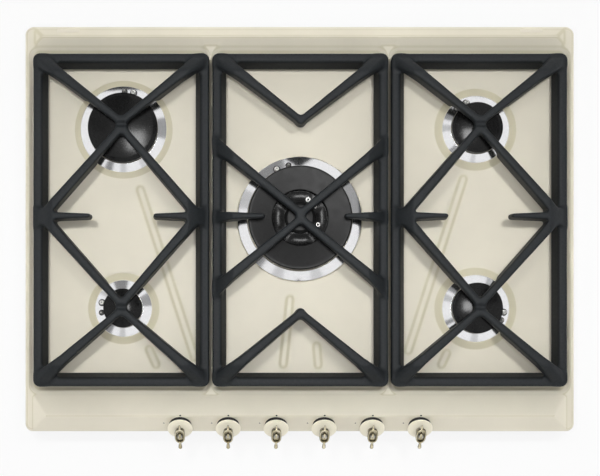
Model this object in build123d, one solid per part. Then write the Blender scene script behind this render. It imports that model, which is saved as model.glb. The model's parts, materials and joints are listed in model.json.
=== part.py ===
from build123d import *

import os
from math import atan2, cos, degrees, hypot, radians, sin, tan

# Built-in gas cooktop with five burners. Millimetres; +X right, +Y rear, +Z up.
# z = 0 is the surface of the worktop that it is set into; x = y = 0 is the middle of the pan.

# --- top pan: pressed, enamelled sheet
PAN_WIDTH = 720.0
PAN_DEPTH = 530.0
PAN_CORNER_R = 10.0
SHEET = 1.0
SEAL_HEIGHT = 3.0  # the pan's folded edge sits this far above the worktop
RIM_HEIGHT = 6.0  # side rim above the folded edge
RIM_EDGE_R = 4.0
HEM_WIDTH = 9.0  # edge folded in under the rim
WELL_DEPTH = 5.0  # well floor below the rim
WELL_CORNER_R = 10.0
WELL_SIDE_RUN = 4.0  # how far a well's side wall leans over its depth
WELL_SIDE_MARGIN = 6.0  # rim outside the outer wells
RIB_WIDTH = 3.0  # top of the ribs between the wells
WELL_CORNER_GROWTH = 14.0  # corners open out up the front and rear walls
FRONT_RIDGE_HEIGHT = 22.5  # above the folded edge
FRONT_RIDGE_INSET = 18.8  # ridge's front corner from the pan's front edge
FRONT_RIDGE_FLAT = 4.0
FRONT_WALL_RUN = 32.2  # well wall up to the front ridge
FRONT_RIDGE_END = 29.0  # ridge's end from the pan's side
RIDGE_END_RUN = 20.0
REAR_RIDGE_HEIGHT = 11.0
REAR_RIDGE_INSET = 12.0
REAR_RIDGE_FLAT = 4.0
REAR_LEDGE_RUN = 10.0
REAR_WALL_RUN = 18.0
REAR_RIDGE_END = 22.0
FASCIA_TILT = 45.0  # degrees from level
HINGE_COVER_WIDTH = 29.0
HINGE_COVER_DEPTH = 4.0
HINGE_COVER_INSET = 57.0
HINGE_COVER_HEIGHT = 1.2

# --- burners
BURNER_INSET = 1.5  # side burners sit this far inside their grid's middle line
BURNER_DY = 117.5
BURNER_ROW_Y = 13.5  # middle of the burner layout
BOSS_HEIGHT = 3.0
BOSS_SLOPE_RUN = 5.0
SEAT_GAP = 2.5  # pan boss to crown base
CROWN_BASE = 2.5
CROWN_HEIGHT = 12.0
CROWN_WALL = 4.0
CROWN_UNDERCUT = 1.2  # crown inside the cap's edge
PORT_WIDTH = 2.0
PORT_DEPTH = 6.0
CAP_RIM = 3.5
CAP_DOME = 4.0
CAP_DOME_RUN = 9.0
CAP_PLUG = 2.5
CAP_FIT = 0.5
MIXER_BORE_R = 9.0
CUP_FLANGE = 4.0
CUP_DEPTH = 30.0
INJECTOR_R = 4.5
INJECTOR_LENGTH = 12.0
RING_HEIGHT = 5.0
RING_GAP = 1.5  # ring inside edge to crown
CAP_SIDES = 20

# --- wok burner
WOK_RING_D = 163.5
WOK_CAP_D = 135.5
WOK_CAP_HOLE_D = 71.6
WOK_INNER_CAP_D = 41.0
WOK_CAP_THICK = 5.0
WOK_CAP_DISH = 2.5
WOK_RING_HEIGHT = 8.0
WOK_WEB_WIDTH = 16.0
WOK_WEB_COUNT = 4
WOK_HUB_R = 23.0
WOK_PORTS = 12
WOK_INNER_PORTS = 6
WOK_SIDES = 20

# --- igniters and flame sensors
PLUG_R = 3.2
PLUG_LENGTH = 26.0
PLUG_TIP_R = 1.0
PLUG_TIP = 4.0
SENSOR_R = 2.4
SENSOR_LENGTH = 30.0
SENSOR_HOLE_GAP = 0.8

# --- cast grids
GRID_SIDE_MARGIN = 13.5  # pan edge to the outer grids
GRID_GAP = 4.5  # between neighbouring grids
GRID_FRONT_GAP = 4.0  # well floor's end to the grid
GRID_REAR_GAP = 5.0
GRID_CORNER_R = 8.5
GRID_TOP = 50.0  # pan support plane above the worktop
FRAME_TOP = 29.0
FRAME_BOTTOM = 11.0
FRAME_FLAT = 11.0
FRAME_SLOPE = 7.5
ARM_BOTTOM = 26.0
ARM_ROOT_W = 10.0
ARM_TIP_W = 7.0
ARM_CHAMFER = 5.0
ARCH_CLEAR = 17.0  # arms hollowed under, this far outside a cap
ARCH_BOTTOM = 36.5
GUSSET_LENGTH = 34.0
GUSSET_WIDTH = 26.0
END_SLOPE_RUN = 20.0
END_SLOPE_DROP = 14.0
HUB_SPREAD = 12.5  # arm roots either side of a finger
FINGER_W = 8.5
OUTER_FINGER_GAP = 36.5  # finger tip to the grid's middle line
INNER_FINGER_GAP = 41.5
CENTRE_FINGER_LEFT = 45.0
CENTRE_FINGER_RIGHT = 55.0
CENTRE_ARM_ROOT_Y = 91.0
CENTRE_V_REAR = 126.0  # tips of the V arms from the grid's middle
CENTRE_V_FRONT = 121.0
FOOT_R = 5.0
FOOT_INSET = 10.0

# --- knobs and taps; each is drawn along its own tilted axis
KNOB_COUNT = 6
KNOB_PITCH = 62.5
KNOB_RISE = 1.8  # axis above the middle of the fascia
KNOB_HOLE_R = 7.5
SEAL_RING_R = 14.6
SEAL_RING_THICK = 2.0
SKIRT_R = 16.3
SKIRT_BACK = 5.5
SKIRT_THICK = 3.2
SKIRT_CROWN = 1.8
SKIRT_CROWN_R = 11.0
SPINDLE_R = 3.0
SPINDLE_FIT = 0.05
SPINDLE_RUNNING = 0.6
HANDLE_STEM_R = 5.0
HANDLE_BACK = 18.0
HANDLE_THICK = 8.0
HANDLE_W = 13.4
HANDLE_L = 19.0
HANDLE_RIM = 1.8
HANDLE_RECESS = 1.4
FINIAL_LENGTH = 14.0
FINIAL_R = 2.5
TAP_HALF = 8.0
BONNET_R = 5.6
BONNET_TOP = 4.0  # behind the fascia
BONNET_END = 18.0
TAP_END = 43.0
PLUG_CAVITY_R = 5.2
PLUG_CAVITY_END = 36.0
TONGUE_THICK = 2.0
TONGUE_LENGTH = 6.0
TONGUE_FIT = 0.3
PRESS_TRAVEL = 3.0
SWITCH_SIZE = (9.0, 8.0, 8.0)
RAIL_HALF = 7.0
RAIL_OVERHANG = 18.0
PIPE_R = 3.2
PIPE_Z = -34.0
PIPE_OFFSET = 15.0
PIPE_DROP = 34.0  # from a tap to where its pipe turns down, behind the rail
LEAD_STEP = 5.0
LEAD_R = 1.2
SENSOR_LEAD_Z = -40.0
SPARK_LEAD_Z = -44.0

# --- base box and what it carries
BOX_SIDE_ROOM = 45.0  # from a side burner's middle to the box's side
BOX_FRONT_INSET = 18.0  # from the pan's edge
BOX_REAR_INSET = 29.0
BOX_DEPTH = 48.0
BOX_SHEET = 1.0
BOX_CORNER_R = 8.0
BOX_FRONT_DROP = 8.0  # front wall ends this far under the worktop
BOX_FLANGE = 10.0
POCKET_SIZE = 50.0  # raised corners for the gas and mains inlets
POCKET_HEIGHT = 18.0
SEAL_INSET = 2.5
SEAL_WIDTH = 8.0
INLET_THREAD_R = 10.48  # G 1/2
INLET_LENGTH = 13.0  # thread below the lock nut
INLET_INSET = (19.5, 29.0)  # from the box's side and rear
INLET_PIPE_R = 5.0
INLET_NUT_AF = 27.0
INLET_NUT_HEIGHT = 6.0
LOCK_NUT_HEIGHT = 4.0
CORD_HOLE_R = 8.0
CORD_HOLE_INSET = 18.0
TERMINAL_SIZE = (36.0, 16.0, 14.0)
TERMINAL_INSET = 40.0
GENERATOR_SIZE = (70.0, 44.0, 26.0)
GENERATOR_AT = (-150.0, 20.0)
CLAMP_Y = (-170.0, 170.0)
CLAMP_WIDTH = 16.0
CLAMP_HEIGHT = 26.0
CLAMP_REACH = 18.0
CLAMP_SHEET = 2.0
CLAMP_Z = -42.0
CLAMP_SCREW_R = 2.5
CLAMP_SCREW_LENGTH = 18.0

# --- derived places
EDGE_Z = SEAL_HEIGHT
RIM_Z = EDGE_Z + RIM_HEIGHT
FLOOR_Z = RIM_Z - WELL_DEPTH
BOSS_Z = FLOOR_Z + BOSS_HEIGHT
GRID_PITCH = (PAN_WIDTH - 2 * GRID_SIDE_MARGIN + GRID_GAP) / 3
GRID_WIDTH = GRID_PITCH - GRID_GAP
BURNER_DX = GRID_PITCH - BURNER_INSET
BOX_WIDTH = 2 * (BURNER_DX + BOX_SIDE_ROOM)
BOX_FRONT = PAN_DEPTH / 2 - BOX_FRONT_INSET
BOX_REAR = PAN_DEPTH / 2 - BOX_REAR_INSET
RIDGE_Z = EDGE_Z + FRONT_RIDGE_HEIGHT
REAR_RIDGE_Z = EDGE_Z + REAR_RIDGE_HEIGHT
SIDE_X = PAN_WIDTH / 2
EDGE_Y = PAN_DEPTH / 2
RIDGE_Y = -EDGE_Y + FRONT_RIDGE_INSET
WELL_FRONT = RIDGE_Y + FRONT_RIDGE_FLAT + FRONT_WALL_RUN
WELL_REAR = EDGE_Y - REAR_RIDGE_INSET - REAR_RIDGE_FLAT - REAR_WALL_RUN
GRID_DEPTH = WELL_REAR - WELL_FRONT - GRID_FRONT_GAP - GRID_REAR_GAP
GRID_Y = (WELL_REAR - GRID_REAR_GAP + WELL_FRONT + GRID_FRONT_GAP) / 2
CROWN_Z = BOSS_Z + SEAT_GAP
CAP_Z = CROWN_Z + CROWN_HEIGHT
TILT = radians(FASCIA_TILT)
FASCIA_RUN = (RIDGE_Z - EDGE_Z) / tan(TILT)
FASCIA_LENGTH = (RIDGE_Z - EDGE_Z) / sin(TILT)
BOX_FLOOR = -BOX_DEPTH
MIXER_Z = BOSS_Z - SHEET - CUP_DEPTH

BURNERS = {
    # name: x side, row, cap diameter, ring diameter, boss diameter, ports, plug and sensor angle
    "rapid": (-1, 1, 90.7, 113.0, 128.0, 12, 74.0, 88.0),
    "auxiliary": (-1, -1, 50.6, 74.5, 94.0, 6, 165.0, 191.0),
    "semi_rear": (1, 1, 66.0, 88.0, 108.0, 8, 111.0, 134.0),
    "semi_front": (1, -1, 66.0, 88.0, 108.0, 8, -8.0, -25.0),
}
WOK_ANGLES = (115.0, 102.0)
# raised strips in the wells, from their burner towards its knob: (x, y) of both ends from the
# burner's middle, the burner given by its side and row
STRIPS = [
    ((-1, 1), (20, -73), (95, -305)),
    ((-1, -1), (31, -48), (45, -79)),
    ((1, 1), (-14, -59), (-90, -296)),
    ((1, -1), (-35, -53), (-47, -79)),
    ((0, 0), (-12, -99.5), (-22, -196.5)),
    ((0, 0), (22, -160.5), (25, -197.5)),
]
STRIP_WIDTH = 12.0
STRIP_HEIGHT = 1.2
STRIP_STEPS = 2

# flat facets used for round shapes
CORNER_STEPS = 2
EDGE_STEPS = 2
BOSS_SIDES = 16
CROWN_SIDES = 16
CUP_SIDES = 12
KNOB_SIDES = 14
SPINDLE_SIDES = 6
PROBE_SIDES = 6


def part_of(items):
    """All the items fused, or kept as separate solids where they lie apart."""
    whole = items[0]
    for item in items[1:]:
        whole = whole + item
    return whole


def group(items):
    return Compound(children=[solid for item in items for solid in item.solids()])


def prism(radius, height, sides, z=0.0):
    return extrude(Pos(0, 0, z) * RegularPolygon(radius, sides), amount=height)


def outline(points):
    return Wire.make_polygon(points)


def polyhedron(rings):
    """A solid with flat faces between rings of (x, y, z) points that match one to one."""
    faces = [Face(outline(rings[0])), Face(outline(rings[-1]))]
    for low, high in zip(rings, rings[1:]):
        for i in range(len(low)):
            faces.append(Face(outline([low[i - 1], low[i], high[i], high[i - 1]])))
    return Solid(Shell(faces))


def arcs(corners, turn, steps):
    """Points round a shape with (x, y, radius, start angle) corners that each turn this far."""
    return [
        around(x, y, r, start + turn * i / steps)
        for x, y, r, start in corners
        for i in range(steps + 1)
    ]


def rounded_ring(x0, x1, y0, y1, r, z):
    """A rounded rectangle's points."""
    corners = [
        (x1 - r, y1 - r, r, 0.0),
        (x0 + r, y1 - r, r, 90.0),
        (x0 + r, y0 + r, r, 180.0),
        (x1 - r, y0 + r, r, 270.0),
    ]
    return [(x, y, z) for x, y in arcs(corners, 90.0, CORNER_STEPS)]


def turned(profile, sides):
    """A turning about Z in flat facets, from the (radius, z) points round its section."""

    def level(r, z):
        return [(*around(0, 0, r, 360 * i / sides), z) for i in range(sides)]

    faces = []
    for (r0, z0), (r1, z1) in zip(profile, profile[1:] + profile[:1]):
        if z0 == z1:
            near, far = sorted((r0, r1))
            faces.append(Face(outline(level(far, z0)), [outline(level(near, z0))] if near else []))
        elif r0 or r1:
            low, high = level(r0, z0), level(r1, z1)
            for i in range(sides):
                faces.append(Face(outline([low[i - 1], low[i], high[i], high[i - 1]])))
    return Solid(Shell(faces))


def stacked(levels, sides):
    """A solid turning, straight between its (radius, z) levels."""
    return turned([(0, levels[0][1]), *levels, (0, levels[-1][1])], sides)


def block(x0, x1, y0, y1, z0, z1):
    return Pos((x0 + x1) / 2, (y0 + y1) / 2, (z0 + z1) / 2) * Box(x1 - x0, y1 - y0, z1 - z0)


def rounded(x0, x1, y0, y1, r, z=0.0):
    return Face(outline(rounded_ring(x0, x1, y0, y1, r, z)))


def rounded_middle(width, depth, r, z=0.0):
    return rounded(-width / 2, width / 2, -depth / 2, depth / 2, r, z)


def burner_at(side, row):
    return side * BURNER_DX, BURNER_ROW_Y + row * BURNER_DY


def around(x, y, radius, angle):
    return x + radius * cos(radians(angle)), y + radius * sin(radians(angle))


def lean(run, rise):
    """How far a skin of unit thickness draws in on a wall of this slope, once lowered by one."""
    slope = hypot(run, rise)
    return (1 - run / slope) / (rise / slope)


# ---------------------------------------------------------------- top pan
def ridge(d, low, high, ends, end_run, run_out, run_in):
    """A hipped ridge: low and high are (outer y, inner y, z), drawn in by d for the underside."""
    rise = high[2] - low[2]
    out, inner, end = (d * lean(run, rise) for run in (run_out, run_in, end_run))
    way = 1 if high[0] < high[1] else -1
    rings = []
    for (y0, y1, z), x in ((low, ends + end_run - end), (high, ends - end)):
        y0, y1 = y0 + way * out, y1 - way * inner
        rings.append([(-x, y0, z - d), (x, y0, z - d), (x, y1, z - d), (-x, y1, z - d)])
    return polyhedron(rings)


def well(x0, x1, d):
    """One well's space, opened out by d for the underside."""
    front = d * lean(FRONT_WALL_RUN, RIDGE_Z - FLOOR_Z)
    rear = d * lean(REAR_WALL_RUN, REAR_RIDGE_Z - FLOOR_Z)
    side = d * lean(WELL_SIDE_RUN, WELL_DEPTH)
    front_slope = FRONT_WALL_RUN / (RIDGE_Z - FLOOR_Z)
    rear_slope = REAR_WALL_RUN / (REAR_RIDGE_Z - FLOOR_Z)
    top = RIDGE_Z - FLOOR_Z + 2 * SHEET
    rings = []
    for up, out, r in (
        (0, 0, WELL_CORNER_R),
        (WELL_DEPTH, WELL_SIDE_RUN, WELL_CORNER_R + WELL_SIDE_RUN),
        (top, WELL_SIDE_RUN, WELL_CORNER_R + WELL_SIDE_RUN + WELL_CORNER_GROWTH),
    ):
        rings.append(
            rounded_ring(
                x0 - out - side,
                x1 + out + side,
                WELL_FRONT - up * front_slope - front,
                WELL_REAR + up * rear_slope + rear,
                r,
                FLOOR_Z - d + up,
            )
        )
    return polyhedron(rings)


def wells():
    """x limits of the three well floors."""
    rib = GRID_PITCH / 2
    half = RIB_WIDTH / 2 + WELL_SIDE_RUN
    edge = SIDE_X - WELL_SIDE_MARGIN - WELL_SIDE_RUN
    return [(-edge, -rib - half), (-rib + half, rib - half), (rib + half, edge)]


def bosses():
    for side, row, _cap, _ring, boss, *_ in BURNERS.values():
        yield (*burner_at(side, row), boss / 2)
    yield 0.0, BURNER_ROW_Y, WOK_RING_D / 2 - 1


def pan_form(d):
    """The space under the pan's skin: d = 0 is its top face, d = SHEET its underside."""
    edge_r, top = RIM_EDGE_R - d, RIM_Z - d
    levels = [(d, EDGE_Z - (SHEET if d else 0))]
    steps = 1 if d else EDGE_STEPS
    for i in range(steps + 1):
        turn = radians(90.0 * i / steps)
        levels.append((d + edge_r * (1 - cos(turn)), top - edge_r * (1 - sin(turn))))
    slab = polyhedron(
        [
            rounded_ring(inset - SIDE_X, SIDE_X - inset, inset - EDGE_Y, EDGE_Y - inset, PAN_CORNER_R - inset, z)
            for inset, z in levels
        ]
    )
    base = RIM_Z - RIM_EDGE_R * (1 - sin(TILT))
    fascia_base = RIDGE_Y - (RIDGE_Z - base) / tan(TILT)
    wall = FRONT_WALL_RUN / (RIDGE_Z - FLOOR_Z)
    front = ridge(
        d,
        (fascia_base, WELL_FRONT - (base - FLOOR_Z) * wall, base),
        (RIDGE_Y, RIDGE_Y + FRONT_RIDGE_FLAT, RIDGE_Z),
        SIDE_X - FRONT_RIDGE_END,
        RIDGE_END_RUN,
        (RIDGE_Z - base) / tan(TILT),
        FRONT_WALL_RUN,
    )
    rear_y = EDGE_Y - REAR_RIDGE_INSET
    rear_base = RIM_Z - SHEET
    rear_wall = REAR_WALL_RUN / (REAR_RIDGE_Z - FLOOR_Z)
    rear = ridge(
        d,
        (rear_y + REAR_LEDGE_RUN, WELL_REAR + (rear_base - FLOOR_Z) * rear_wall, rear_base),
        (rear_y, rear_y - REAR_RIDGE_FLAT, REAR_RIDGE_Z),
        SIDE_X - REAR_RIDGE_END,
        RIDGE_END_RUN / 2,
        REAR_LEDGE_RUN,
        REAR_WALL_RUN,
    )
    form = slab + front + rear
    for x0, x1 in wells():
        form -= well(x0, x1, d)
    for x, y, r in bosses():
        draw = d * lean(BOSS_SLOPE_RUN, BOSS_HEIGHT)
        cone = [(r - draw, FLOOR_Z - d), (r - BOSS_SLOPE_RUN - draw, BOSS_Z - d)]
        form += Pos(x, y, 0) * stacked(cone, BOSS_SIDES)
    return form


def strip(burner, start, end):
    """A raised strip with round ends, its ends given from the burner's middle."""
    (x0, y0), (x1, y1) = start, end
    long, turn = hypot(x1 - x0, y1 - y0), atan2(y1 - y0, x1 - x0)
    half = (long - STRIP_WIDTH) / 2
    rings = []
    for r, z in ((STRIP_WIDTH / 2, FLOOR_Z - SHEET / 2), (STRIP_WIDTH / 2 - STRIP_HEIGHT, FLOOR_Z + STRIP_HEIGHT)):
        ends = [(half, 0.0, r, -90.0), (-half, 0.0, r, 90.0)]
        rings.append([(x, y, z) for x, y in arcs(ends, 180.0, STRIP_STEPS)])
    middle = Pos(burner[0] + (x0 + x1) / 2, burner[1] + (y0 + y1) / 2, 0)
    return middle * Rot(0, 0, degrees(turn)) * polyhedron(rings)


def hem():
    outer = rounded_middle(PAN_WIDTH - SHEET, PAN_DEPTH - SHEET, PAN_CORNER_R - SHEET / 2, EDGE_Z)
    inner = Pos(0, 0, EDGE_Z) * Rectangle(PAN_WIDTH - 2 * HEM_WIDTH, PAN_DEPTH - 2 * HEM_WIDTH)
    return extrude(outer - inner, amount=SHEET)


def hinge_covers(grow=0.0):
    """Caps on the two lid-hinge slots, or with grow their slots through the ledge."""
    y = EDGE_Y - REAR_RIDGE_INSET / 2
    top = RIM_Z + HINGE_COVER_HEIGHT + (REAR_RIDGE_Z - RIM_Z) / 2 + grow * 10
    half_w, half_d = HINGE_COVER_WIDTH / 2 + grow, HINGE_COVER_DEPTH / 2 + grow
    at = SIDE_X - HINGE_COVER_INSET
    return [
        block(x - half_w, x + half_w, y - half_d, y + half_d, RIM_Z - 4 * SHEET - grow, top)
        for x in (-at, at)
    ]


def neck_r(cap_d):
    return cap_d * 0.32


def top_pan():
    pan = pan_form(0) - pan_form(SHEET) + hem()
    for burner, start, end in STRIPS:
        pan += strip(burner_at(*burner), start, end)
    tall = BOSS_Z + SHEET
    for side, row, cap, *_ in BURNERS.values():
        x, y = burner_at(side, row)
        pan -= Pos(x, y, 0) * prism(neck_r(cap) + CAP_FIT, tall, CUP_SIDES)
    pan -= Pos(0, BURNER_ROW_Y, 0) * prism(wok_neck() + CAP_FIT, tall, CUP_SIDES)
    for x, y, r in probe_places():
        pan -= Pos(x, y, tall / 2) * prism_centred(r + SENSOR_HOLE_GAP, tall, PROBE_SIDES)
    for plane in knob_planes():
        pan -= plane * prism_centred(KNOB_HOLE_R, 8 * SHEET, CAP_SIDES // 2)
    for slot in hinge_covers(CAP_FIT):
        pan -= slot
    return pan


def prism_centred(radius, height, sides):
    return prism(radius, height, sides, -height / 2)


# ---------------------------------------------------------------- burners
def crown_r(cap_d):
    return cap_d / 2 - CROWN_UNDERCUT


def probe_pairs():
    """Burner middle, and the places of its plug and its sensor."""
    for side, row, cap, _ring, _boss, _ports, plug, sensor in BURNERS.values():
        x, y = burner_at(side, row)
        out = crown_r(cap) + PLUG_R + CROWN_UNDERCUT + CAP_FIT
        yield around(x, y, out, plug), around(x, y, out, sensor)
    out = WOK_CAP_D / 2 + PLUG_R + CAP_FIT
    yield tuple(around(0, BURNER_ROW_Y, out, a) for a in WOK_ANGLES)


def probe_places():
    for (px, py), (sx, sy) in probe_pairs():
        yield px, py, PLUG_R
        yield sx, sy, SENSOR_R


def ring(outer_r, inner_r, height):
    return turned([(inner_r, BOSS_Z), (outer_r, BOSS_Z), (inner_r, BOSS_Z + height)], CROWN_SIDES)


def burner_rings():
    rings = []
    for side, row, cap, outer, *_ in BURNERS.values():
        x, y = burner_at(side, row)
        rings.append(Pos(x, y, 0) * ring(outer / 2, crown_r(cap) + RING_GAP, RING_HEIGHT))
    wok = ring(WOK_RING_D / 2, WOK_CAP_D / 2 + RING_GAP, WOK_RING_HEIGHT)
    rings.append(Pos(0, BURNER_ROW_Y, 0) * wok)
    for x, y, r in probe_places():
        hole = Pos(x, y, BOSS_Z) * prism_centred(r + SENSOR_HOLE_GAP, 3 * WOK_RING_HEIGHT, PROBE_SIDES)
        rings = [one - hole for one in rings]
    return group(rings)


def ports(radius, count, top, start=0.0):
    """Radial slots through a crown's wall, open at its top."""
    slot = Pos(radius, 0, top - PORT_DEPTH / 2) * Box(
        3 * CROWN_WALL, PORT_WIDTH, PORT_DEPTH + SHEET / 10
    )
    return [Rot(0, 0, start + i * 360 / count) * slot for i in range(count)]


def crown(cap_d, count):
    r, top = crown_r(cap_d), CAP_Z
    bore = MIXER_BORE_R
    section = [
        (bore, CROWN_Z),
        (r, CROWN_Z),
        (r, top),
        (r - CROWN_WALL, top),
        (r - CROWN_WALL, CROWN_Z + CROWN_BASE),
        (bore, CROWN_Z + CROWN_BASE),
    ]
    body = turned(section, CROWN_SIDES)
    for slot in ports(r - CROWN_WALL / 2, count, top + SHEET / 20, 180 / count):
        body -= slot
    return body


def burner_crowns():
    return group(
        Pos(*burner_at(side, row), 0) * crown(cap, count)
        for side, row, cap, _ring, _boss, count, *_ in BURNERS.values()
    )


def cap(cap_d):
    r = cap_d / 2
    dome = stacked(
        [
            (r, CAP_Z),
            (r, CAP_Z + CAP_RIM),
            (r - CAP_DOME_RUN, CAP_Z + CAP_RIM + CAP_DOME),
        ],
        CAP_SIDES,
    )
    plug = prism(crown_r(cap_d) - CROWN_WALL - CAP_FIT, CAP_PLUG, CROWN_SIDES // 2, CAP_Z - CAP_PLUG)
    return dome + plug


def burner_cups():
    cups = []
    top = BOSS_Z - SHEET
    for side, row, cap_d, *_ in BURNERS.values():
        r, neck = cap_d * 0.44, neck_r(cap_d)
        section = [
            (MIXER_BORE_R, MIXER_Z),
            (r * 0.6, MIXER_Z),
            (r, top - CUP_FLANGE),
            (r, top),
            (neck, top),
            (neck, CROWN_Z),
            (MIXER_BORE_R, CROWN_Z),
        ]
        cups.append(Pos(*burner_at(side, row), 0) * turned(section, CUP_SIDES))
    return group(cups)


def wok_neck():
    return WOK_CAP_D * 0.42


def wok_bores():
    """The wok cup's two mixing bores: the outer ring's and the middle's."""
    return [(-WOK_INNER_CAP_D * 0.85, BURNER_ROW_Y), (0.0, BURNER_ROW_Y)]


def wok_cup():
    top, neck, r = BOSS_Z - SHEET, wok_neck(), WOK_CAP_D * 0.47
    section = [
        (r * 0.8, MIXER_Z),
        (r, top - CUP_FLANGE),
        (r, top),
        (neck, top),
        (neck, CROWN_Z),
    ]
    cup = Pos(0, BURNER_ROW_Y, 0) * stacked(section, CUP_SIDES)
    for x, y in wok_bores():
        cup -= Pos(x, y, 0) * prism_centred(MIXER_BORE_R, 3 * CUP_DEPTH, CAP_SIDES // 2)
    return cup


def wok_outer_crown():
    r_out, r_in = crown_r(WOK_CAP_D), WOK_CAP_HOLE_D / 2 + CROWN_UNDERCUT
    top, base = CAP_Z, CROWN_Z + CROWN_BASE
    section = [
        (r_in, CROWN_Z),
        (r_out, CROWN_Z),
        (r_out, top),
        (r_out - CROWN_WALL, top),
        (r_out - CROWN_WALL, base),
        (r_in + CROWN_WALL, base),
        (r_in + CROWN_WALL, top),
        (r_in, top),
    ]
    hub = [(MIXER_BORE_R, CROWN_Z), (WOK_HUB_R, CROWN_Z), (WOK_HUB_R, base), (MIXER_BORE_R, base)]
    body = turned(section, WOK_SIDES) + turned(hub, CROWN_SIDES // 2)
    reach = r_in + CROWN_WALL / 2
    web = block(WOK_HUB_R - CROWN_WALL, reach, -WOK_WEB_WIDTH / 2, WOK_WEB_WIDTH / 2, CROWN_Z, base)
    for i in range(WOK_WEB_COUNT):
        body += Rot(0, 0, (i + 0.5) * 360 / WOK_WEB_COUNT) * web
    for slot in ports(r_out - CROWN_WALL / 2, WOK_PORTS, top + SHEET / 20):
        body -= slot
    bore = prism_centred(MIXER_BORE_R - CAP_FIT, 3 * CROWN_BASE, CAP_SIDES // 2)
    body -= Pos(wok_bores()[0][0], 0, CROWN_Z) * bore
    return Pos(0, BURNER_ROW_Y, 0) * body


def wok_inner_crown():
    z, r = CROWN_Z + CROWN_BASE, WOK_INNER_CAP_D / 2 - CROWN_UNDERCUT
    top = CAP_Z - CROWN_UNDERCUT
    section = [
        (MIXER_BORE_R, z),
        (r, z),
        (r, top),
        (r - CROWN_WALL, top),
        (r - CROWN_WALL, z + CROWN_BASE),
        (MIXER_BORE_R, z + CROWN_BASE),
    ]
    body = turned(section, CROWN_SIDES // 2)
    for slot in ports(r - CROWN_WALL / 2, WOK_INNER_PORTS, top + SHEET / 20):
        body -= slot
    return Pos(0, BURNER_ROW_Y, 0) * body


def wok_outer_cap():
    r_out, r_in = WOK_CAP_D / 2, WOK_CAP_HOLE_D / 2
    top = CAP_Z + WOK_CAP_THICK
    section = [(r_in, CAP_Z), (r_out, CAP_Z), (r_out, top), (r_in, top - WOK_CAP_DISH)]
    return Pos(0, BURNER_ROW_Y, 0) * turned(section, WOK_SIDES)


def wok_inner_cap():
    r, z = WOK_INNER_CAP_D / 2, CAP_Z - CROWN_UNDERCUT
    body = stacked([(r, z), (r, z + CAP_RIM), (r * 0.8, z + CAP_RIM + CAP_DOME / 4)], CROWN_SIDES)
    plug = prism(r - CROWN_UNDERCUT - CROWN_WALL - CAP_FIT, CAP_PLUG, CROWN_SIDES // 2, z - CAP_PLUG)
    return Pos(0, BURNER_ROW_Y, 0) * (body + plug)


def injector_places():
    """Where each pipe ends: the middle of a mixing bore, in the order of the knobs."""
    at = {name: burner_at(side, row) for name, (side, row, *_) in BURNERS.items()}
    outer, inner = wok_bores()
    return [at["auxiliary"], at["rapid"], outer, inner, at["semi_rear"], at["semi_front"]]


def injectors():
    jets = []
    for x, y in injector_places():
        levels = [
            (INJECTOR_R, MIXER_Z - INJECTOR_LENGTH / 4),
            (INJECTOR_R, MIXER_Z + INJECTOR_LENGTH / 2),
            (INJECTOR_R / 2, MIXER_Z + INJECTOR_LENGTH * 0.75),
        ]
        jets.append(Pos(x, y, 0) * stacked(levels, 6))
    return group(jets)


def spark_plugs():
    items = []
    for (x, y), _sensor in probe_pairs():
        body = prism(PLUG_R, PLUG_LENGTH, PROBE_SIDES, CAP_Z - PLUG_TIP - PLUG_LENGTH)
        tip = prism(PLUG_TIP_R, PLUG_TIP - CAP_FIT, 4, CAP_Z - PLUG_TIP)
        items.append(Pos(x, y, 0) * (body + tip))
    return group(items)


def thermocouples():
    top = CAP_Z - PLUG_TIP / 2
    return group(
        Pos(x, y, 0) * prism(SENSOR_R, SENSOR_LENGTH, PROBE_SIDES, top - SENSOR_LENGTH)
        for _plug, (x, y) in probe_pairs()
    )


# ---------------------------------------------------------------- grids
def bar(start, end, w0, w1):
    """A flat tapered strip between two points."""
    (x0, y0), (x1, y1) = start, end
    long = hypot(x1 - x0, y1 - y0)
    ux, uy = (x1 - x0) / long, (y1 - y0) / long
    corners = [
        (x0 - uy * w0 / 2, y0 + ux * w0 / 2),
        (x0 + uy * w0 / 2, y0 - ux * w0 / 2),
        (x1 + uy * w1 / 2, y1 - ux * w1 / 2),
        (x1 - uy * w1 / 2, y1 + ux * w1 / 2),
    ]
    return Polygon(*corners, align=None)


def toward(start, end, reach):
    (x0, y0), (x1, y1) = start, end
    share = reach / hypot(x1 - x0, y1 - y0)
    return x0 + (x1 - x0) * share, y0 + (y1 - y0) * share


def arm(root, tip):
    """A tapered arm with a gusset where it leaves the frame."""
    throat = toward(root, tip, GUSSET_LENGTH)
    return bar(root, tip, ARM_ROOT_W, ARM_TIP_W) + bar(root, throat, GUSSET_WIDTH, ARM_ROOT_W)


def finger(x0, x1, y):
    way = 1 if x1 > x0 else -1
    flat = bar((x0, y), (x1 - way * FINGER_W / 2, y), FINGER_W + 3, FINGER_W)
    return flat + Pos(x1 - way * FINGER_W / 2, y) * RegularPolygon(FINGER_W / 2, 8)


def grid_frame():
    half_w, half_d = GRID_WIDTH / 2, GRID_DEPTH / 2
    tall = FRAME_TOP - FRAME_BOTTOM
    outer = rounded(-half_w, half_w, -half_d, half_d, GRID_CORNER_R, FRAME_BOTTOM)
    wide = FRAME_FLAT + FRAME_SLOPE
    openings = [
        Pos(0, 0, z) * Rectangle(GRID_WIDTH - 2 * inset, GRID_DEPTH - 2 * inset)
        for z, inset in ((FRAME_BOTTOM, wide), (FRAME_TOP, FRAME_FLAT))
    ]
    return extrude(outer, amount=tall) - loft(openings, ruled=True)


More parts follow.
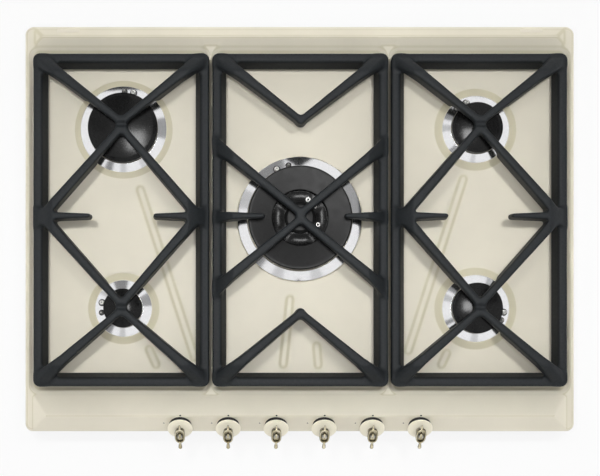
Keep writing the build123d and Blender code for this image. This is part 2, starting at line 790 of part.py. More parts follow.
def end_slopes():
    """Wedges that bring the arms down to the frame on all four sides."""
    half_w, half_d = GRID_WIDTH / 2, GRID_DEPTH / 2
    wedges = []
    for half, length, turn in ((half_w, GRID_DEPTH, 0), (half_d, GRID_WIDTH, 90)):
        outline = Polyline(
            (half - END_SLOPE_RUN, GRID_TOP),
            (half + 1, GRID_TOP - END_SLOPE_DROP - END_SLOPE_DROP / END_SLOPE_RUN),
            (half + 1, GRID_TOP + 1),
            (half - END_SLOPE_RUN, GRID_TOP + 1),
            close=True,
        )
        wedge = extrude(Plane.XZ * make_face(outline), amount=length, both=True)
        wedges += [Rot(0, 0, turn) * wedge, Rot(0, 0, turn + 180) * wedge]
    return wedges


def grid(plan, caps):
    """A cast grid about its own middle: plan is the arms seen from above, caps are (x, y, r)."""
    tall = GRID_TOP - ARM_BOTTOM
    clip = rounded_middle(GRID_WIDTH, GRID_DEPTH, GRID_CORNER_R)
    arms = extrude(Pos(0, 0, ARM_BOTTOM) * (plan & clip), amount=tall)
    for wedge in end_slopes():
        arms -= wedge
    for x, y, r in caps:
        arch = ARCH_BOTTOM - ARM_BOTTOM
        levels = [(r + ARCH_CLEAR, ARM_BOTTOM), (r + ARCH_CLEAR - arch / 2, ARCH_BOTTOM)]
        arms -= Pos(x, y, 0) * stacked(levels, CUP_SIDES)
    return grid_frame() + arms


def rounded_plan(arms, near, length):
    """The arms fused, with the inside corners near these points filled in by a flat."""
    plan = part_of(arms)
    inside, outside = ARM_TIP_W * 0.6, ARM_TIP_W
    corners = [
        v
        for v in plan.vertices()
        if any(inside < hypot(v.X - x, v.Y - y) < outside for x, y in near)
    ]
    return chamfer(corners, length) + [Pos(x, y) * RegularPolygon(ARM_TIP_W / 2, 8) for x, y in near]


def side_grid(side):
    """side -1 is the left grid, 1 the right one."""
    x = side * (BURNER_DX - GRID_PITCH)
    rear = (x, BURNER_ROW_Y + BURNER_DY - GRID_Y)
    front = (x, BURNER_ROW_Y - BURNER_DY - GRID_Y)
    middle = BURNER_ROW_Y - GRID_Y
    corner_x, corner_y = (GRID_WIDTH - FRAME_FLAT) / 2, (GRID_DEPTH - FRAME_FLAT) / 2
    arms = []
    for way in (-1, 1):
        arms.append(arm((way * corner_x, corner_y), rear))
        arms.append(arm((way * corner_x, -corner_y), front))
        arms.append(arm((way * corner_x, middle + HUB_SPREAD), rear))
        arms.append(arm((way * corner_x, middle - HUB_SPREAD), front))
        gap = OUTER_FINGER_GAP if way == side else INNER_FINGER_GAP
        arms.append(finger(way * corner_x, way * gap, middle))
    plan = rounded_plan(arms, [rear, front], ARM_CHAMFER)
    sizes = [BURNERS[name][2] / 2 for name in (SIDE_BURNERS[side])]
    caps = [(rear[0], rear[1], sizes[0]), (front[0], front[1], sizes[1])]
    return Pos(side * GRID_PITCH, GRID_Y, 0) * grid(plan, caps)


SIDE_BURNERS = {-1: ("rapid", "auxiliary"), 1: ("semi_rear", "semi_front")}


def centre_grid():
    middle = BURNER_ROW_Y - GRID_Y
    corner_x, corner_y = (GRID_WIDTH - FRAME_FLAT) / 2, (GRID_DEPTH - FRAME_FLAT) / 2
    cross, rear, front = (0, middle), (0, CENTRE_V_REAR), (0, -CENTRE_V_FRONT)
    arms = []
    for way in (-1, 1):
        arms.append(arm((way * corner_x, corner_y), rear))
        arms.append(arm((way * corner_x, -corner_y), front))
        arms.append(arm((way * corner_x, middle + CENTRE_ARM_ROOT_Y), cross))
        arms.append(arm((way * corner_x, middle - CENTRE_ARM_ROOT_Y), cross))
    arms.append(finger(-corner_x, -CENTRE_FINGER_LEFT, middle))
    arms.append(finger(corner_x, CENTRE_FINGER_RIGHT, middle))
    plan = rounded_plan(arms, [cross, rear, front], ARM_CHAMFER)
    return Pos(0, GRID_Y, 0) * grid(plan, [(0, middle, WOK_CAP_D / 2)])


def grid_feet(x):
    half_w, half_d = GRID_WIDTH / 2 - FOOT_INSET, GRID_DEPTH / 2 - FOOT_INSET
    foot = prism(FOOT_R, FRAME_BOTTOM - FLOOR_Z, PROBE_SIDES, FLOOR_Z)
    return group(
        Pos(x + sx * half_w, GRID_Y + sy * half_d, 0) * foot for sx in (-1, 1) for sy in (-1, 1)
    )


# ---------------------------------------------------------------- knobs and taps
def knob_planes():
    """One plane per knob on the fascia: x across, y up the slope, z out of it."""
    middle_y = RIDGE_Y - FASCIA_RUN / 2 + KNOB_RISE * cos(TILT)
    middle_z = (RIDGE_Z + EDGE_Z) / 2 + KNOB_RISE * sin(TILT)
    out = (0, -sin(TILT), cos(TILT))
    first = -KNOB_PITCH * (KNOB_COUNT - 1) / 2
    return [
        Plane((first + i * KNOB_PITCH, middle_y, middle_z), (1, 0, 0), out) for i in range(KNOB_COUNT)
    ]


def knob_seal():
    bore = prism(SPINDLE_R + 2 * SPINDLE_RUNNING, 2 * SEAL_RING_THICK, SPINDLE_SIDES, -SEAL_RING_THICK / 2)
    return prism(SEAL_RING_R, SEAL_RING_THICK, CUP_SIDES) - bore


def knob_skirt():
    front = SKIRT_BACK + SKIRT_THICK
    body = stacked(
        [(SKIRT_R, SKIRT_BACK), (SKIRT_R, front), (SKIRT_CROWN_R, front + SKIRT_CROWN)], KNOB_SIDES
    )
    return body - prism(SPINDLE_R + SPINDLE_FIT, 40, SPINDLE_SIDES)


def finial():
    """A turned end of the bar, along +Y."""
    r, long = FINIAL_R, FINIAL_LENGTH
    shape = stacked([(r * 0.6, 0), (r, long * 0.7), (r * 0.7, long)], 6)
    return Rot(-90, 0, 0) * shape


def oval(width, length, sides=CAP_SIDES // 2):
    turns = [radians(360 * i / sides) for i in range(sides)]
    return Polygon(*[(width / 2 * cos(t), length / 2 * sin(t)) for t in turns], align=None)


def knob_handle():
    front, mid = HANDLE_BACK + HANDLE_THICK, HANDLE_BACK + HANDLE_THICK / 2
    skirt_front = SKIRT_BACK + SKIRT_THICK + SKIRT_CROWN
    body = extrude(Pos(0, 0, HANDLE_BACK) * oval(HANDLE_W, HANDLE_L), amount=HANDLE_THICK)
    dish = oval(HANDLE_W - 2 * HANDLE_RIM, HANDLE_L - 2 * HANDLE_RIM)
    body -= extrude(Pos(0, 0, front - HANDLE_RECESS) * dish, amount=2 * HANDLE_RECESS)
    body += prism(HANDLE_STEM_R, HANDLE_BACK - skirt_front, SPINDLE_SIDES, skirt_front)
    for turn in (0, 180):
        body += Rot(0, 0, turn) * (Pos(0, HANDLE_L / 2 - HANDLE_RIM, mid) * finial())
    return body - prism(SPINDLE_R + SPINDLE_FIT, mid - SKIRT_BACK, SPINDLE_SIDES, SKIRT_BACK)


def tap_spindle():
    start = -BONNET_END - 1
    mid = HANDLE_BACK + HANDLE_THICK / 2
    shaft = prism(SPINDLE_R, mid - SPINDLE_FIT - start, SPINDLE_SIDES, start)
    tongue = Pos(0, 0, start - TONGUE_LENGTH / 2) * Box(TONGUE_THICK, SPINDLE_R, TONGUE_LENGTH)
    return shaft + tongue


def tap_plug():
    top = -BONNET_END - 1 - PRESS_TRAVEL - TONGUE_FIT
    low = -PLUG_CAVITY_END + TONGUE_FIT
    body = stacked([(PLUG_CAVITY_R - 3 * TONGUE_FIT, low), (PLUG_CAVITY_R - TONGUE_FIT, top)], CUP_SIDES)
    deep = TONGUE_LENGTH + TONGUE_FIT
    slot = Box(TONGUE_THICK + 2 * TONGUE_FIT, SPINDLE_R + 2 * TONGUE_FIT, 2 * deep)
    return body - Pos(0, 0, top) * slot


def tap_body():
    body = block(-TAP_HALF, TAP_HALF, -TAP_HALF, TAP_HALF, -TAP_END, -BONNET_END)
    body += prism(BONNET_R, BONNET_END - BONNET_TOP, SPINDLE_SIDES, -BONNET_END)
    body -= prism(SPINDLE_R + SPINDLE_RUNNING, BONNET_END, SPINDLE_SIDES, -BONNET_END - 1)
    return body - prism(PLUG_CAVITY_R, PLUG_CAVITY_END - BONNET_END - 0.5, CUP_SIDES, -PLUG_CAVITY_END)


def ignition_switch():
    x = BONNET_R + SWITCH_SIZE[0] / 2
    return Pos(x, 0, -BONNET_END + SWITCH_SIZE[2] / 2) * Box(*SWITCH_SIZE)


def rail_centre():
    out = knob_planes()[0].z_dir
    at = knob_planes()[0].origin - out * (TAP_END + RAIL_HALF)
    return at.Y, at.Z


def gas_rail():
    """Square manifold that the taps sit on, its pipe to the inlet along the right side."""
    half = KNOB_PITCH * (KNOB_COUNT - 1) / 2 + RAIL_OVERHANG
    y, z = rail_centre()
    body = Pos(0, y, z) * (Rot(FASCIA_TILT, 0, 0) * Box(2 * half, 2 * RAIL_HALF, 2 * RAIL_HALF))
    inlet_x, inlet_y = inlet_place()
    path = Polyline((half, y, z), (inlet_x, y, z), (inlet_x, inlet_y - elbow_reach(), z))
    return body + tube(path, INLET_PIPE_R)


def elbow_reach():
    """From the spigot's axis to the face that the pipe meets, just clear of the nut."""
    return INLET_NUT_AF / 2 + INLET_NUT_HEIGHT / 2


def tube(path, radius, sides=6):
    """A pipe with mitred corners along a path."""
    start = Plane(path @ 0, z_dir=path % 0)
    return sweep(start * RegularPolygon(radius, sides), path=path, transition=Transition.RIGHT)


def burner_pipes():
    pipes = []
    tap_side = TAP_HALF + PIPE_R
    for plane, (bx, by) in zip(knob_planes(), injector_places()):
        mouth = plane.from_local_coords(Vector(TAP_HALF, 0, -BONNET_END - TAP_HALF - PIPE_R))
        x = mouth.X + PIPE_OFFSET - tap_side
        path = Polyline(
            (mouth.X, mouth.Y, mouth.Z),
            (x, mouth.Y, mouth.Z),
            (x, mouth.Y + PIPE_DROP, mouth.Z),
            (x, mouth.Y + PIPE_DROP, PIPE_Z),
            (x, by, PIPE_Z),
            (bx, by, PIPE_Z),
            (bx, by, MIXER_Z - INJECTOR_LENGTH / 4),
        )
        pipes.append(tube(path, PIPE_R))
    return group(pipes)


def inlet_place():
    return BOX_WIDTH / 2 - INLET_INSET[0], BOX_REAR - INLET_INSET[1]


def gas_inlet():
    """Elbow and threaded spigot that point down through the raised rear right corner."""
    x, y = inlet_place()
    top = BOX_FLOOR + POCKET_HEIGHT
    rail_z = rail_centre()[1]
    nut = prism(INLET_NUT_AF / 2 / cos(radians(30)), INLET_NUT_HEIGHT, 6, top + BOX_SHEET)
    lock_nut = prism(INLET_NUT_AF / 2 / cos(radians(30)), -LOCK_NUT_HEIGHT, 6, top)
    neck = prism(INLET_THREAD_R, BOX_SHEET, CUP_SIDES, top)
    spigot = Pos(0, 0, top - LOCK_NUT_HEIGHT - INLET_LENGTH / 2) * Cylinder(INLET_THREAD_R, INLET_LENGTH)
    elbow = block(
        -INLET_THREAD_R,
        INLET_THREAD_R,
        -elbow_reach(),
        INLET_THREAD_R,
        top + BOX_SHEET + INLET_NUT_HEIGHT,
        rail_z + RAIL_HALF,
    )
    return Pos(x, y, 0) * (nut + lock_nut + neck + spigot + elbow)


# ---------------------------------------------------------------- box, wiring and fixings
def box_plan(d):
    return rounded(
        -BOX_WIDTH / 2 + d, BOX_WIDTH / 2 - d, -BOX_FRONT + d, BOX_REAR - d, BOX_CORNER_R - d
    )


def box_space(d):
    """The tray's solid outline drawn in by d, its rear corners raised."""
    floor, top = BOX_FLOOR + d, FLOOR_Z - SHEET
    body = extrude(Pos(0, 0, floor) * box_plan(d), amount=top - floor)
    for side in (-1, 1):
        x0, x1 = sorted((side * (BOX_WIDTH / 2 - POCKET_SIZE - d), side * BOX_WIDTH))
        y0 = BOX_REAR - POCKET_SIZE - d
        body -= block(x0, x1, y0, 2 * BOX_REAR, floor - 1, floor + POCKET_HEIGHT)
    return body


def base_box():
    body = box_space(0) - (box_space(BOX_SHEET) + Pos(0, 0, SHEET) * box_space(BOX_SHEET))
    top = FLOOR_Z - SHEET
    wide = BOX_WIDTH
    body -= block(-wide, wide, -BOX_FRONT - 1, WELL_FRONT + BOX_FLANGE, -BOX_FRONT_DROP, top + 1)
    for side in (-1, 1):
        x0, x1 = sorted((side * (BOX_WIDTH / 2 - BOX_SHEET), side * (BOX_WIDTH / 2 + BOX_FLANGE)))
        body += block(x0, x1, WELL_FRONT + BOX_FLANGE, BOX_REAR - BOX_FLANGE, top - BOX_SHEET, top)
    x, y = inlet_place()
    lift = BOX_FLOOR + POCKET_HEIGHT
    body -= Pos(x, y, lift) * prism_centred(INLET_THREAD_R + CAP_FIT, 6, CUP_SIDES)
    body -= Pos(-x, BOX_REAR - CORD_HOLE_INSET, lift) * Cylinder(CORD_HOLE_R, 6 * BOX_SHEET)
    return body


def worktop_seal():
    outer = rounded_middle(PAN_WIDTH - 2 * SEAL_INSET, PAN_DEPTH - 2 * SEAL_INSET, PAN_CORNER_R)
    far = SEAL_INSET + SEAL_WIDTH
    inner = Rectangle(PAN_WIDTH - 2 * far, PAN_DEPTH - 2 * far)
    return extrude(outer - inner, amount=SEAL_HEIGHT)


def spark_generator():
    x, y = GENERATOR_AT
    z = BOX_FLOOR + BOX_SHEET
    return Pos(x, y, z + GENERATOR_SIZE[2] / 2) * Box(*GENERATOR_SIZE)


def terminal_block():
    x, y = inlet_place()[0], BOX_REAR - TERMINAL_INSET
    low = BOX_FLOOR + POCKET_HEIGHT + BOX_SHEET
    body = Pos(-x, y, low + TERMINAL_SIZE[2] / 2) * Box(*TERMINAL_SIZE)
    for i in (-1, 0, 1):
        at = Pos(-x + i * TERMINAL_SIZE[0] / 3.4, y, low + TERMINAL_SIZE[2])
        body -= at * prism_centred(TERMINAL_SIZE[1] / 7, TERMINAL_SIZE[2] / 2, 8)
    return body


def ignition_leads():
    """From the generator to the plugs, along the bottom of the box."""
    gx, gy = GENERATOR_AT
    right, back, front = (
        gx + GENERATOR_SIZE[0] / 2,
        gy + GENERATOR_SIZE[1] / 2,
        gy - GENERATOR_SIZE[1] / 2,
    )
    exits = [(gx, back), (gx, front), (right, gy), (right, gy - 8), (right, gy + 12)]
    foot = CAP_Z - PLUG_TIP - PLUG_LENGTH
    leads = []
    for (x0, y0), ((x, y), _sensor) in zip(exits, probe_pairs()):
        corner = (x0, y) if x0 == gx else (x, y0)
        path = Polyline((x0, y0, SPARK_LEAD_Z), (*corner, SPARK_LEAD_Z), (x, y, SPARK_LEAD_Z), (x, y, foot))
        leads.append(tube(path, LEAD_R, 4))
    return leads


def sensor_leads():
    """From the flame sensors back to their taps."""
    foot = CAP_Z - PLUG_TIP / 2 - SENSOR_LENGTH
    leads = []
    planes = knob_planes()
    order = {0: 1, 1: 0, 2: 4, 3: 5, 4: 3}  # which tap each burner in probe_pairs hangs on
    for i, (_plug, (x, y)) in enumerate(probe_pairs()):
        mouth = planes[order[i]].from_local_coords(Vector(-TAP_HALF, 0, -BONNET_END - TAP_HALF - PIPE_R))
        side = mouth.X - (PIPE_OFFSET - TAP_HALF) + PIPE_R
        turn_y = mouth.Y + PIPE_DROP + LEAD_STEP * min(order[i], KNOB_COUNT - 1 - order[i])
        path = Polyline(
            (mouth.X, mouth.Y, mouth.Z),
            (side, mouth.Y, mouth.Z),
            (side, turn_y, mouth.Z),
            (side, turn_y, SENSOR_LEAD_Z),
            (x, turn_y, SENSOR_LEAD_Z),
            (x, y, SENSOR_LEAD_Z),
            (x, y, foot),
        )
        leads.append(tube(path, LEAD_R, 4))
    return leads


def worktop_clamps():
    items = []
    wall = BOX_WIDTH / 2
    for side in (-1, 1):
        for y in CLAMP_Y:
            upright = block(0, CLAMP_SHEET, -CLAMP_WIDTH / 2, CLAMP_WIDTH / 2, CLAMP_Z, CLAMP_Z + CLAMP_HEIGHT)
            foot = block(
                0, CLAMP_REACH, -CLAMP_WIDTH / 2, CLAMP_WIDTH / 2, CLAMP_Z, CLAMP_Z + CLAMP_SHEET
            )
            hole = Pos(CLAMP_REACH * 0.6, 0, CLAMP_Z) * prism_centred(CLAMP_SCREW_R + CAP_FIT / 5, 9, 6)
            clamp = upright + foot - hole
            turn = Rot(0, 0, 0 if side > 0 else 180)
            items.append(Pos(side * wall, y, 0) * turn * clamp)
    return group(items)


def clamp_screws():
    screw = prism(CLAMP_SCREW_R, CLAMP_SCREW_LENGTH, 6, CLAMP_Z)
    screw += prism(CLAMP_SCREW_R * 1.8, CLAMP_SCREW_R, 6, CLAMP_Z - CLAMP_SCREW_R)
    x = BOX_WIDTH / 2 + CLAMP_REACH * 0.6
    return group(Pos(side * x, y, 0) * screw for side in (-1, 1) for y in CLAMP_Y)


def main():
    parts = {
        "top_pan": top_pan(),
        "hinge_covers": group(hinge_covers()),
        "worktop_seal": worktop_seal(),
        "base_box": base_box(),
        "burner_cups": burner_cups(),
        "wok_cup": wok_cup(),
        "burner_crowns": burner_crowns(),
        "wok_outer_crown": wok_outer_crown(),
        "wok_inner_crown": wok_inner_crown(),
        "burner_rings": burner_rings(),
        "wok_outer_cap": wok_outer_cap(),
        "wok_inner_cap": wok_inner_cap(),
        "spark_plugs": spark_plugs(),
        "thermocouples": thermocouples(),
        "injectors": injectors(),
        "gas_rail": gas_rail(),
        "gas_inlet": gas_inlet(),
        "burner_pipes": burner_pipes(),
        "spark_generator": spark_generator(),
        "terminal_block": terminal_block(),
        "leads": group(ignition_leads() + sensor_leads()),
        "worktop_clamps": worktop_clamps(),
        "clamp_screws": clamp_screws(),
        "grid_centre": centre_grid(),
        "grid_feet_centre": grid_feet(0),
    }
    for name, (side, row, cap_d, *_) in BURNERS.items():
        parts[f"cap_{name}"] = Pos(*burner_at(side, row), 0) * cap(cap_d)
    for name, side in (("left", -1), ("right", 1)):
        parts[f"grid_{name}"] = side_grid(side)
        parts[f"grid_feet_{name}"] = grid_feet(side * GRID_PITCH)
    planes = knob_planes()
    parts["knob_seals"] = group(plane * knob_seal() for plane in planes)
    parts["tap_bodies"] = group(plane * tap_body() for plane in planes)
    parts["ignition_switches"] = group(plane * ignition_switch() for plane in planes)
    for i, plane in enumerate(planes, start=1):
        parts[f"tap_plug_{i}"] = plane * tap_plug()
        parts[f"tap_spindle_{i}"] = plane * tap_spindle()
        parts[f"knob_skirt_{i}"] = plane * knob_skirt()
        parts[f"knob_handle_{i}"] = plane * knob_handle()
    os.makedirs("parts", exist_ok=True)
    for name, shape in parts.items():
        export_step(shape, f"parts/{name}.step")


main()
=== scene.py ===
import json
from math import asin, atan2, copysign, cos, hypot, pi, radians, sin, sqrt, tan, tau

import bmesh
import bpy
import numpy as np
from mathutils import Matrix, Vector


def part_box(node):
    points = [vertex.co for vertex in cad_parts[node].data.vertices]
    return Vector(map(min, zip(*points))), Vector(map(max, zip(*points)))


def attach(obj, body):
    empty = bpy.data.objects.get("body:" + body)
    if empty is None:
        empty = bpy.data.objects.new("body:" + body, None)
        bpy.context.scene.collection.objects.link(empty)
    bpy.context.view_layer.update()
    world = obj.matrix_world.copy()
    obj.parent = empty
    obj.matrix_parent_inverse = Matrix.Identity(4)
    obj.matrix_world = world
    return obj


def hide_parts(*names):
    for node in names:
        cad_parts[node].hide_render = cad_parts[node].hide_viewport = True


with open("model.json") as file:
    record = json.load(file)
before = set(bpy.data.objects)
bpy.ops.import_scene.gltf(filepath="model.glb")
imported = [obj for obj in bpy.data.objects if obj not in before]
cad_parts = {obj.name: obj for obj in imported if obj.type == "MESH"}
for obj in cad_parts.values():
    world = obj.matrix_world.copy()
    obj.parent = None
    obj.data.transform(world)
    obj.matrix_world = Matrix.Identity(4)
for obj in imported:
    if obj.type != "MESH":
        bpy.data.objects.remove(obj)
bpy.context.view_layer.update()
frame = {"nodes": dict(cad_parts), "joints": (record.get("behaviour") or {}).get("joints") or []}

# Sizes are in millimetres in the part's own frame; meshes are written in metres.
MM = 0.001


# ---- places read from the frame
def box_mm(node):
    low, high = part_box(node)
    return low / MM, high / MM


def middle_of(node):
    low, high = box_mm(node)
    return (low + high) / 2


def radius_of(node):
    low, high = box_mm(node)
    return (high.x - low.x) / 2


PAN_LOW, PAN_HIGH = box_mm("top_pan")
HALF_X, HALF_Y = PAN_HIGH.x, PAN_HIGH.y
EDGE_Z = PAN_LOW.z
RIDGE_Z = PAN_HIGH.z
FLOOR_Z = box_mm("grid_feet_left")[0].z
BOSS_Z = box_mm("burner_rings")[0].z
CROWN_Z = box_mm("burner_crowns")[0].z
CAP_Z = box_mm("burner_crowns")[1].z
CAP_TOP = box_mm("cap_rapid")[1].z
WOK = middle_of("wok_outer_cap")
CAPS = ("rapid", "auxiliary", "semi_rear", "semi_front")
KNOBS = range(1, 7)

# ---- pan forms
SHEET = 1.0
RIM_Z = EDGE_Z + 6.0
CORNER_R = 10.0
EDGE_R = 4.0
EDGE_BREAK = EDGE_R * (1 - cos(radians(45)))  # the rolled edge reaches the fascia's slope here
HEM_BEND = 0.5
HEM_WIDTH = 9.0
WELL_DEPTH = RIM_Z - FLOOR_Z
WELL_CORNER_R = 10.0
WELL_SIDE_RUN = 4.0
WELL_SIDE_MARGIN = 6.0
WELL_CORNER_GROWTH = 14.0
WELL_FRONT = -210.0
WELL_REAR = 231.0
LEVELS_TRIED = (-6.0, 34.0)
RIB_PITCH = 232.5
RIB_WIDTH = 3.0
FRONT_RIDGE_Y = -246.2
FRONT_FLAT = 4.0
FRONT_WALL_RUN = 32.2
FRONT_RIDGE_END = 29.0
RIDGE_END_RUN = 20.0
REAR_RIDGE_Z = 14.0
REAR_RIDGE_Y = 253.0
REAR_FLAT = 4.0
REAR_LEDGE_RUN = 10.0
REAR_WALL_RUN = 18.0
REAR_RIDGE_END = 22.0
FASCIA_SQUEEZE = 0.7071  # a round hole in the fascia, seen from above
BOSS_DIAMETERS = {"rapid": 128.0, "auxiliary": 94.0, "semi_rear": 108.0, "semi_front": 108.0}
RING_DIAMETERS = {"rapid": 113.0, "auxiliary": 74.5, "semi_rear": 88.0, "semi_front": 88.0}
WOK_RING_D = 163.5
STRIP_WIDTH = 12.0
STRIP_HEIGHT = 1.5
STRIP_RUN = 4.4
STRIPS = [  # ends from their burner's middle
    ("rapid", (20, -73), (95, -305)),
    ("auxiliary", (31, -48), (45, -79)),
    ("semi_rear", (-14, -59), (-90, -296)),
    ("semi_front", (-35, -53), (-47, -79)),
    ("wok", (-12, -99.5), (-22, -196.5)),
    ("wok", (22, -160.5), (25, -197.5)),
]

SEGMENTS = 128


def burner(name):
    at = WOK if name == "wok" else middle_of(f"cap_{name}")
    return at.x, at.y


# ---- mesh helpers
def add_object(name, data):
    obj = bpy.data.objects.new(name, data)
    bpy.context.scene.collection.objects.link(obj)
    return obj


def make_piece(name, verts, faces, finish, body, slot=None, sharp=40.0, place=None):
    """A mesh object from points in millimetres, riding on a body; the slot argument is not used."""
    mesh = bpy.data.meshes.new(name)
    place = place or Matrix.Identity(4)
    mesh.from_pydata([(place @ Vector(v)) * MM for v in verts], [], faces)
    face_out(mesh)
    return from_mesh(name, mesh, finish, body, slot, sharp)


def from_mesh(name, mesh, finish, body, slot=None, sharp=40.0):
    mesh.name = name
    mesh.shade_smooth()
    if sharp:
        mesh.set_sharp_from_angle(angle=radians(sharp))
    mesh.materials.clear()
    mesh.materials.append(FINISH[finish])
    piece = add_object(name, mesh)
    slot = slot or finish
    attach(piece, body)
    return piece


def face_out(mesh):
    """Turns a mesh's faces outward."""
    bm = bmesh.new()
    bm.from_mesh(mesh)
    bmesh.ops.recalc_face_normals(bm, faces=bm.faces)
    bm.to_mesh(mesh)
    bm.free()


def turned(name, section, radii, finish, body, place, slot=None, closed=False, segments=SEGMENTS, steps=4):
    """A piece turned about its own Z from (radius, z) points and the radii of their corners."""
    shell = lathe(soften(section, radii, closed, steps), closed, segments)
    return make_piece(name, *shell, finish, body, slot, place=place)


def joined(parts):
    """Several (verts, faces, matrix) shells as one."""
    verts, faces = [], []
    for more, some, place in parts:
        start = len(verts)
        verts += [tuple(place @ Vector(v)) for v in more]
        faces += [tuple(start + i for i in face) for face in some]
    return verts, faces


def loft(rings, closed=False):
    """Vertices and faces through rings of points; a ring of one point closes an end."""
    verts, spans, faces = [], [], []
    for ring in rings:
        spans.append(range(len(verts), len(verts) + len(ring)))
        verts += ring
    for low, high in zip(spans, spans[1:] + spans[: 1 if closed else 0]):
        count = max(len(low), len(high))
        for i in range(count if count > 1 else 0):
            j = (i + 1) % count
            face = (low[i % len(low)], low[j % len(low)], high[j % len(high)], high[i % len(high)])
            faces.append(tuple(dict.fromkeys(face)))
    return verts, faces


def lathe(section, closed=False, segments=SEGMENTS):
    """Vertices and faces of a turning about Z from (radius, z) points."""
    turns = [tau * i / segments for i in range(segments)]
    rings = [[(r * cos(a), r * sin(a), z) for a in (turns if r > 1e-6 else [0])] for r, z in section]
    return loft(rings, closed)


def soften(points, radii, closed=False, steps=4):
    """A 2D line with its corners rounded; radii has one value a point, 0 keeping it sharp."""
    out, count = [], len(points)
    for i, (point, radius) in enumerate(zip(points, radii)):
        if radius == 0 or (not closed and i in (0, count - 1)):
            out.append(tuple(point))
            continue
        here = Vector(point)
        back, ahead = Vector(points[i - 1]) - here, Vector(points[(i + 1) % count]) - here
        half = back.angle(ahead) / 2
        reach = min(radius / tan(half), 0.49 * back.length, 0.49 * ahead.length)
        arc = reach * tan(half)
        centre = here + (back.normalized() + ahead.normalized()).normalized() * arc / sin(half)
        start, end = (here + side.normalized() * reach - centre for side in (back, ahead))
        turn = start.angle(end)
        for k in range(steps + 1):
            share = k / steps
            mixed = (sin((1 - share) * turn) * start + sin(share * turn) * end) / sin(turn)
            out.append(tuple(centre + mixed))
    return out


def at_place(x, y, z=0.0):
    return Matrix.Translation((x, y, z))


def smooth_min(a, b, k):
    t = np.clip(0.5 + 0.5 * (b - a) / k, 0, 1)
    return b * (1 - t) + a * t - k * t * (1 - t)


def smooth_max(a, b, k):
    return -smooth_min(-a, -b, k)


# ---- materials
FINISH = {}


def add_node(tree, kind, inputs=None, **settings):
    """A shader node with its settings, and the value or the feeding socket of each input named."""
    node = tree.nodes.new("ShaderNode" + kind)
    for key, value in settings.items():
        setattr(node, key, value)
    for key, value in (inputs or {}).items():
        if isinstance(value, bpy.types.NodeSocket):
            tree.links.new(value, node.inputs[key])
        else:
            node.inputs[key].default_value = value
    return node


class Finish:
    """A material built from nodes round one Principled shader, entered in the table of finishes."""

    def __init__(self, name, roughness=0.5, metallic=0.0, **sockets):
        material = FINISH[name] = bpy.data.materials.new(name)
        material.use_nodes = True
        self.tree = material.node_tree
        self.shader = self.tree.nodes["Principled BSDF"]
        for socket, value in {"Roughness": roughness, "Metallic": metallic, **sockets}.items():
            self.shader.inputs[socket.replace("_", " ")].default_value = value
        self.where = self.add("TexCoord").outputs["Object"]
        self.height = None

    def add(self, kind, inputs=None, **settings):
        return add_node(self.tree, kind, inputs, **settings)

    def noise(self, per_mm, detail=2.0, stretch=None, rough=0.5):
        """Noise with about this many grains to the millimetre."""
        where = self.where
        if stretch:
            where = self.add("Mapping", {"Scale": stretch, "Vector": where}).outputs["Vector"]
        inputs = {"Scale": per_mm / MM, "Detail": detail, "Roughness": rough, "Vector": where}
        return self.add("TexNoise", inputs).outputs["Fac"]

    def ramp(self, value, stops):
        node = self.add("ValToRGB", {"Fac": value})
        elements = node.color_ramp.elements
        while len(elements) < len(stops):
            elements.new(0.5)
        for element, (place, colour) in zip(elements, stops):
            element.position = place
            element.color = (*colour, 1.0) if isinstance(colour, tuple) else (colour, colour, colour, 1.0)
        return node.outputs["Color"]

    def mottled(self, value, base, spread):
        """A colour that goes from a little under base to a little over it with the value."""
        low, high = (tuple(min(1.0, c * (1 + way * spread)) for c in base) for way in (-1, 1))
        return self.ramp(value, tint(low, high))

    def multiply(self, a, b, factor=1.0):
        """Two colours multiplied as far as factor says."""
        inputs = {"Factor": factor, "A": a, "B": b}
        return self.add("Mix", inputs, data_type="RGBA", blend_type="MULTIPLY").outputs["Result"]

    def colour(self, socket):
        self.tree.links.new(socket, self.shader.inputs["Base Color"])

    def rough(self, value, low, high):
        node = self.add("MapRange", {"To Min": low, "To Max": high, "Value": value})
        self.tree.links.new(node.outputs["Result"], self.shader.inputs["Roughness"])

    def bump(self, value, height_mm, strength=1.0):
        inputs = {"Strength": strength, "Distance": height_mm * MM, "Height": value}
        if self.height:
            inputs["Normal"] = self.height
        self.height = self.add("Bump", inputs).outputs["Normal"]
        self.tree.links.new(self.height, self.shader.inputs["Normal"])


def tint(low, high, stops=(0.35, 0.65)):
    """Two ramp stops, from low to high."""
    return [(stops[0], low), (stops[1], high)]


def enamel(name, base, spread=0.03, gloss=0.42, slope=None):
    """Vitreous enamel; where the sheet slopes gently its colour is darkened and turned greener by the slope
    colour: painted shade.
    """
    finish = Finish(name, roughness=gloss, Specular_IOR_Level=0.3)
    colour = finish.mottled(finish.noise(0.012, 3), base, spread)
    if slope:
        # Painted shade: faces whose normal Z lies between 0.89 and 0.9985 take on the slope colour, most of
        # all on gentle slopes.
        facing = finish.add("SeparateXYZ", {0: finish.add("NewGeometry").outputs["Normal"]})
        share = finish.ramp(facing.outputs["Z"], [(0.89, 0.0), (0.92, 0.8), (0.96, 1.0), (0.9985, 0.0)])
        colour = finish.multiply(colour, (*slope, 1), share)
    finish.colour(colour)
    finish.rough(finish.noise(0.05, 3), gloss * 0.85, gloss * 1.15)
    finish.bump(finish.noise(0.22, 2), 0.02, 0.5)


def cast_iron():
    finish = Finish("cast_iron", roughness=0.55, Specular_IOR_Level=0.24)
    stops = tint((0.0085, 0.0105, 0.0120), (0.0135, 0.0160, 0.0180))
    finish.colour(finish.ramp(finish.noise(0.35, 6, rough=0.6), stops))
    finish.rough(finish.noise(0.2, 4), 0.46, 0.62)
    finish.bump(finish.noise(1.1, 4, rough=0.6), 0.10, 0.5)
    finish.bump(finish.noise(0.12, 2), 0.25, 0.35)


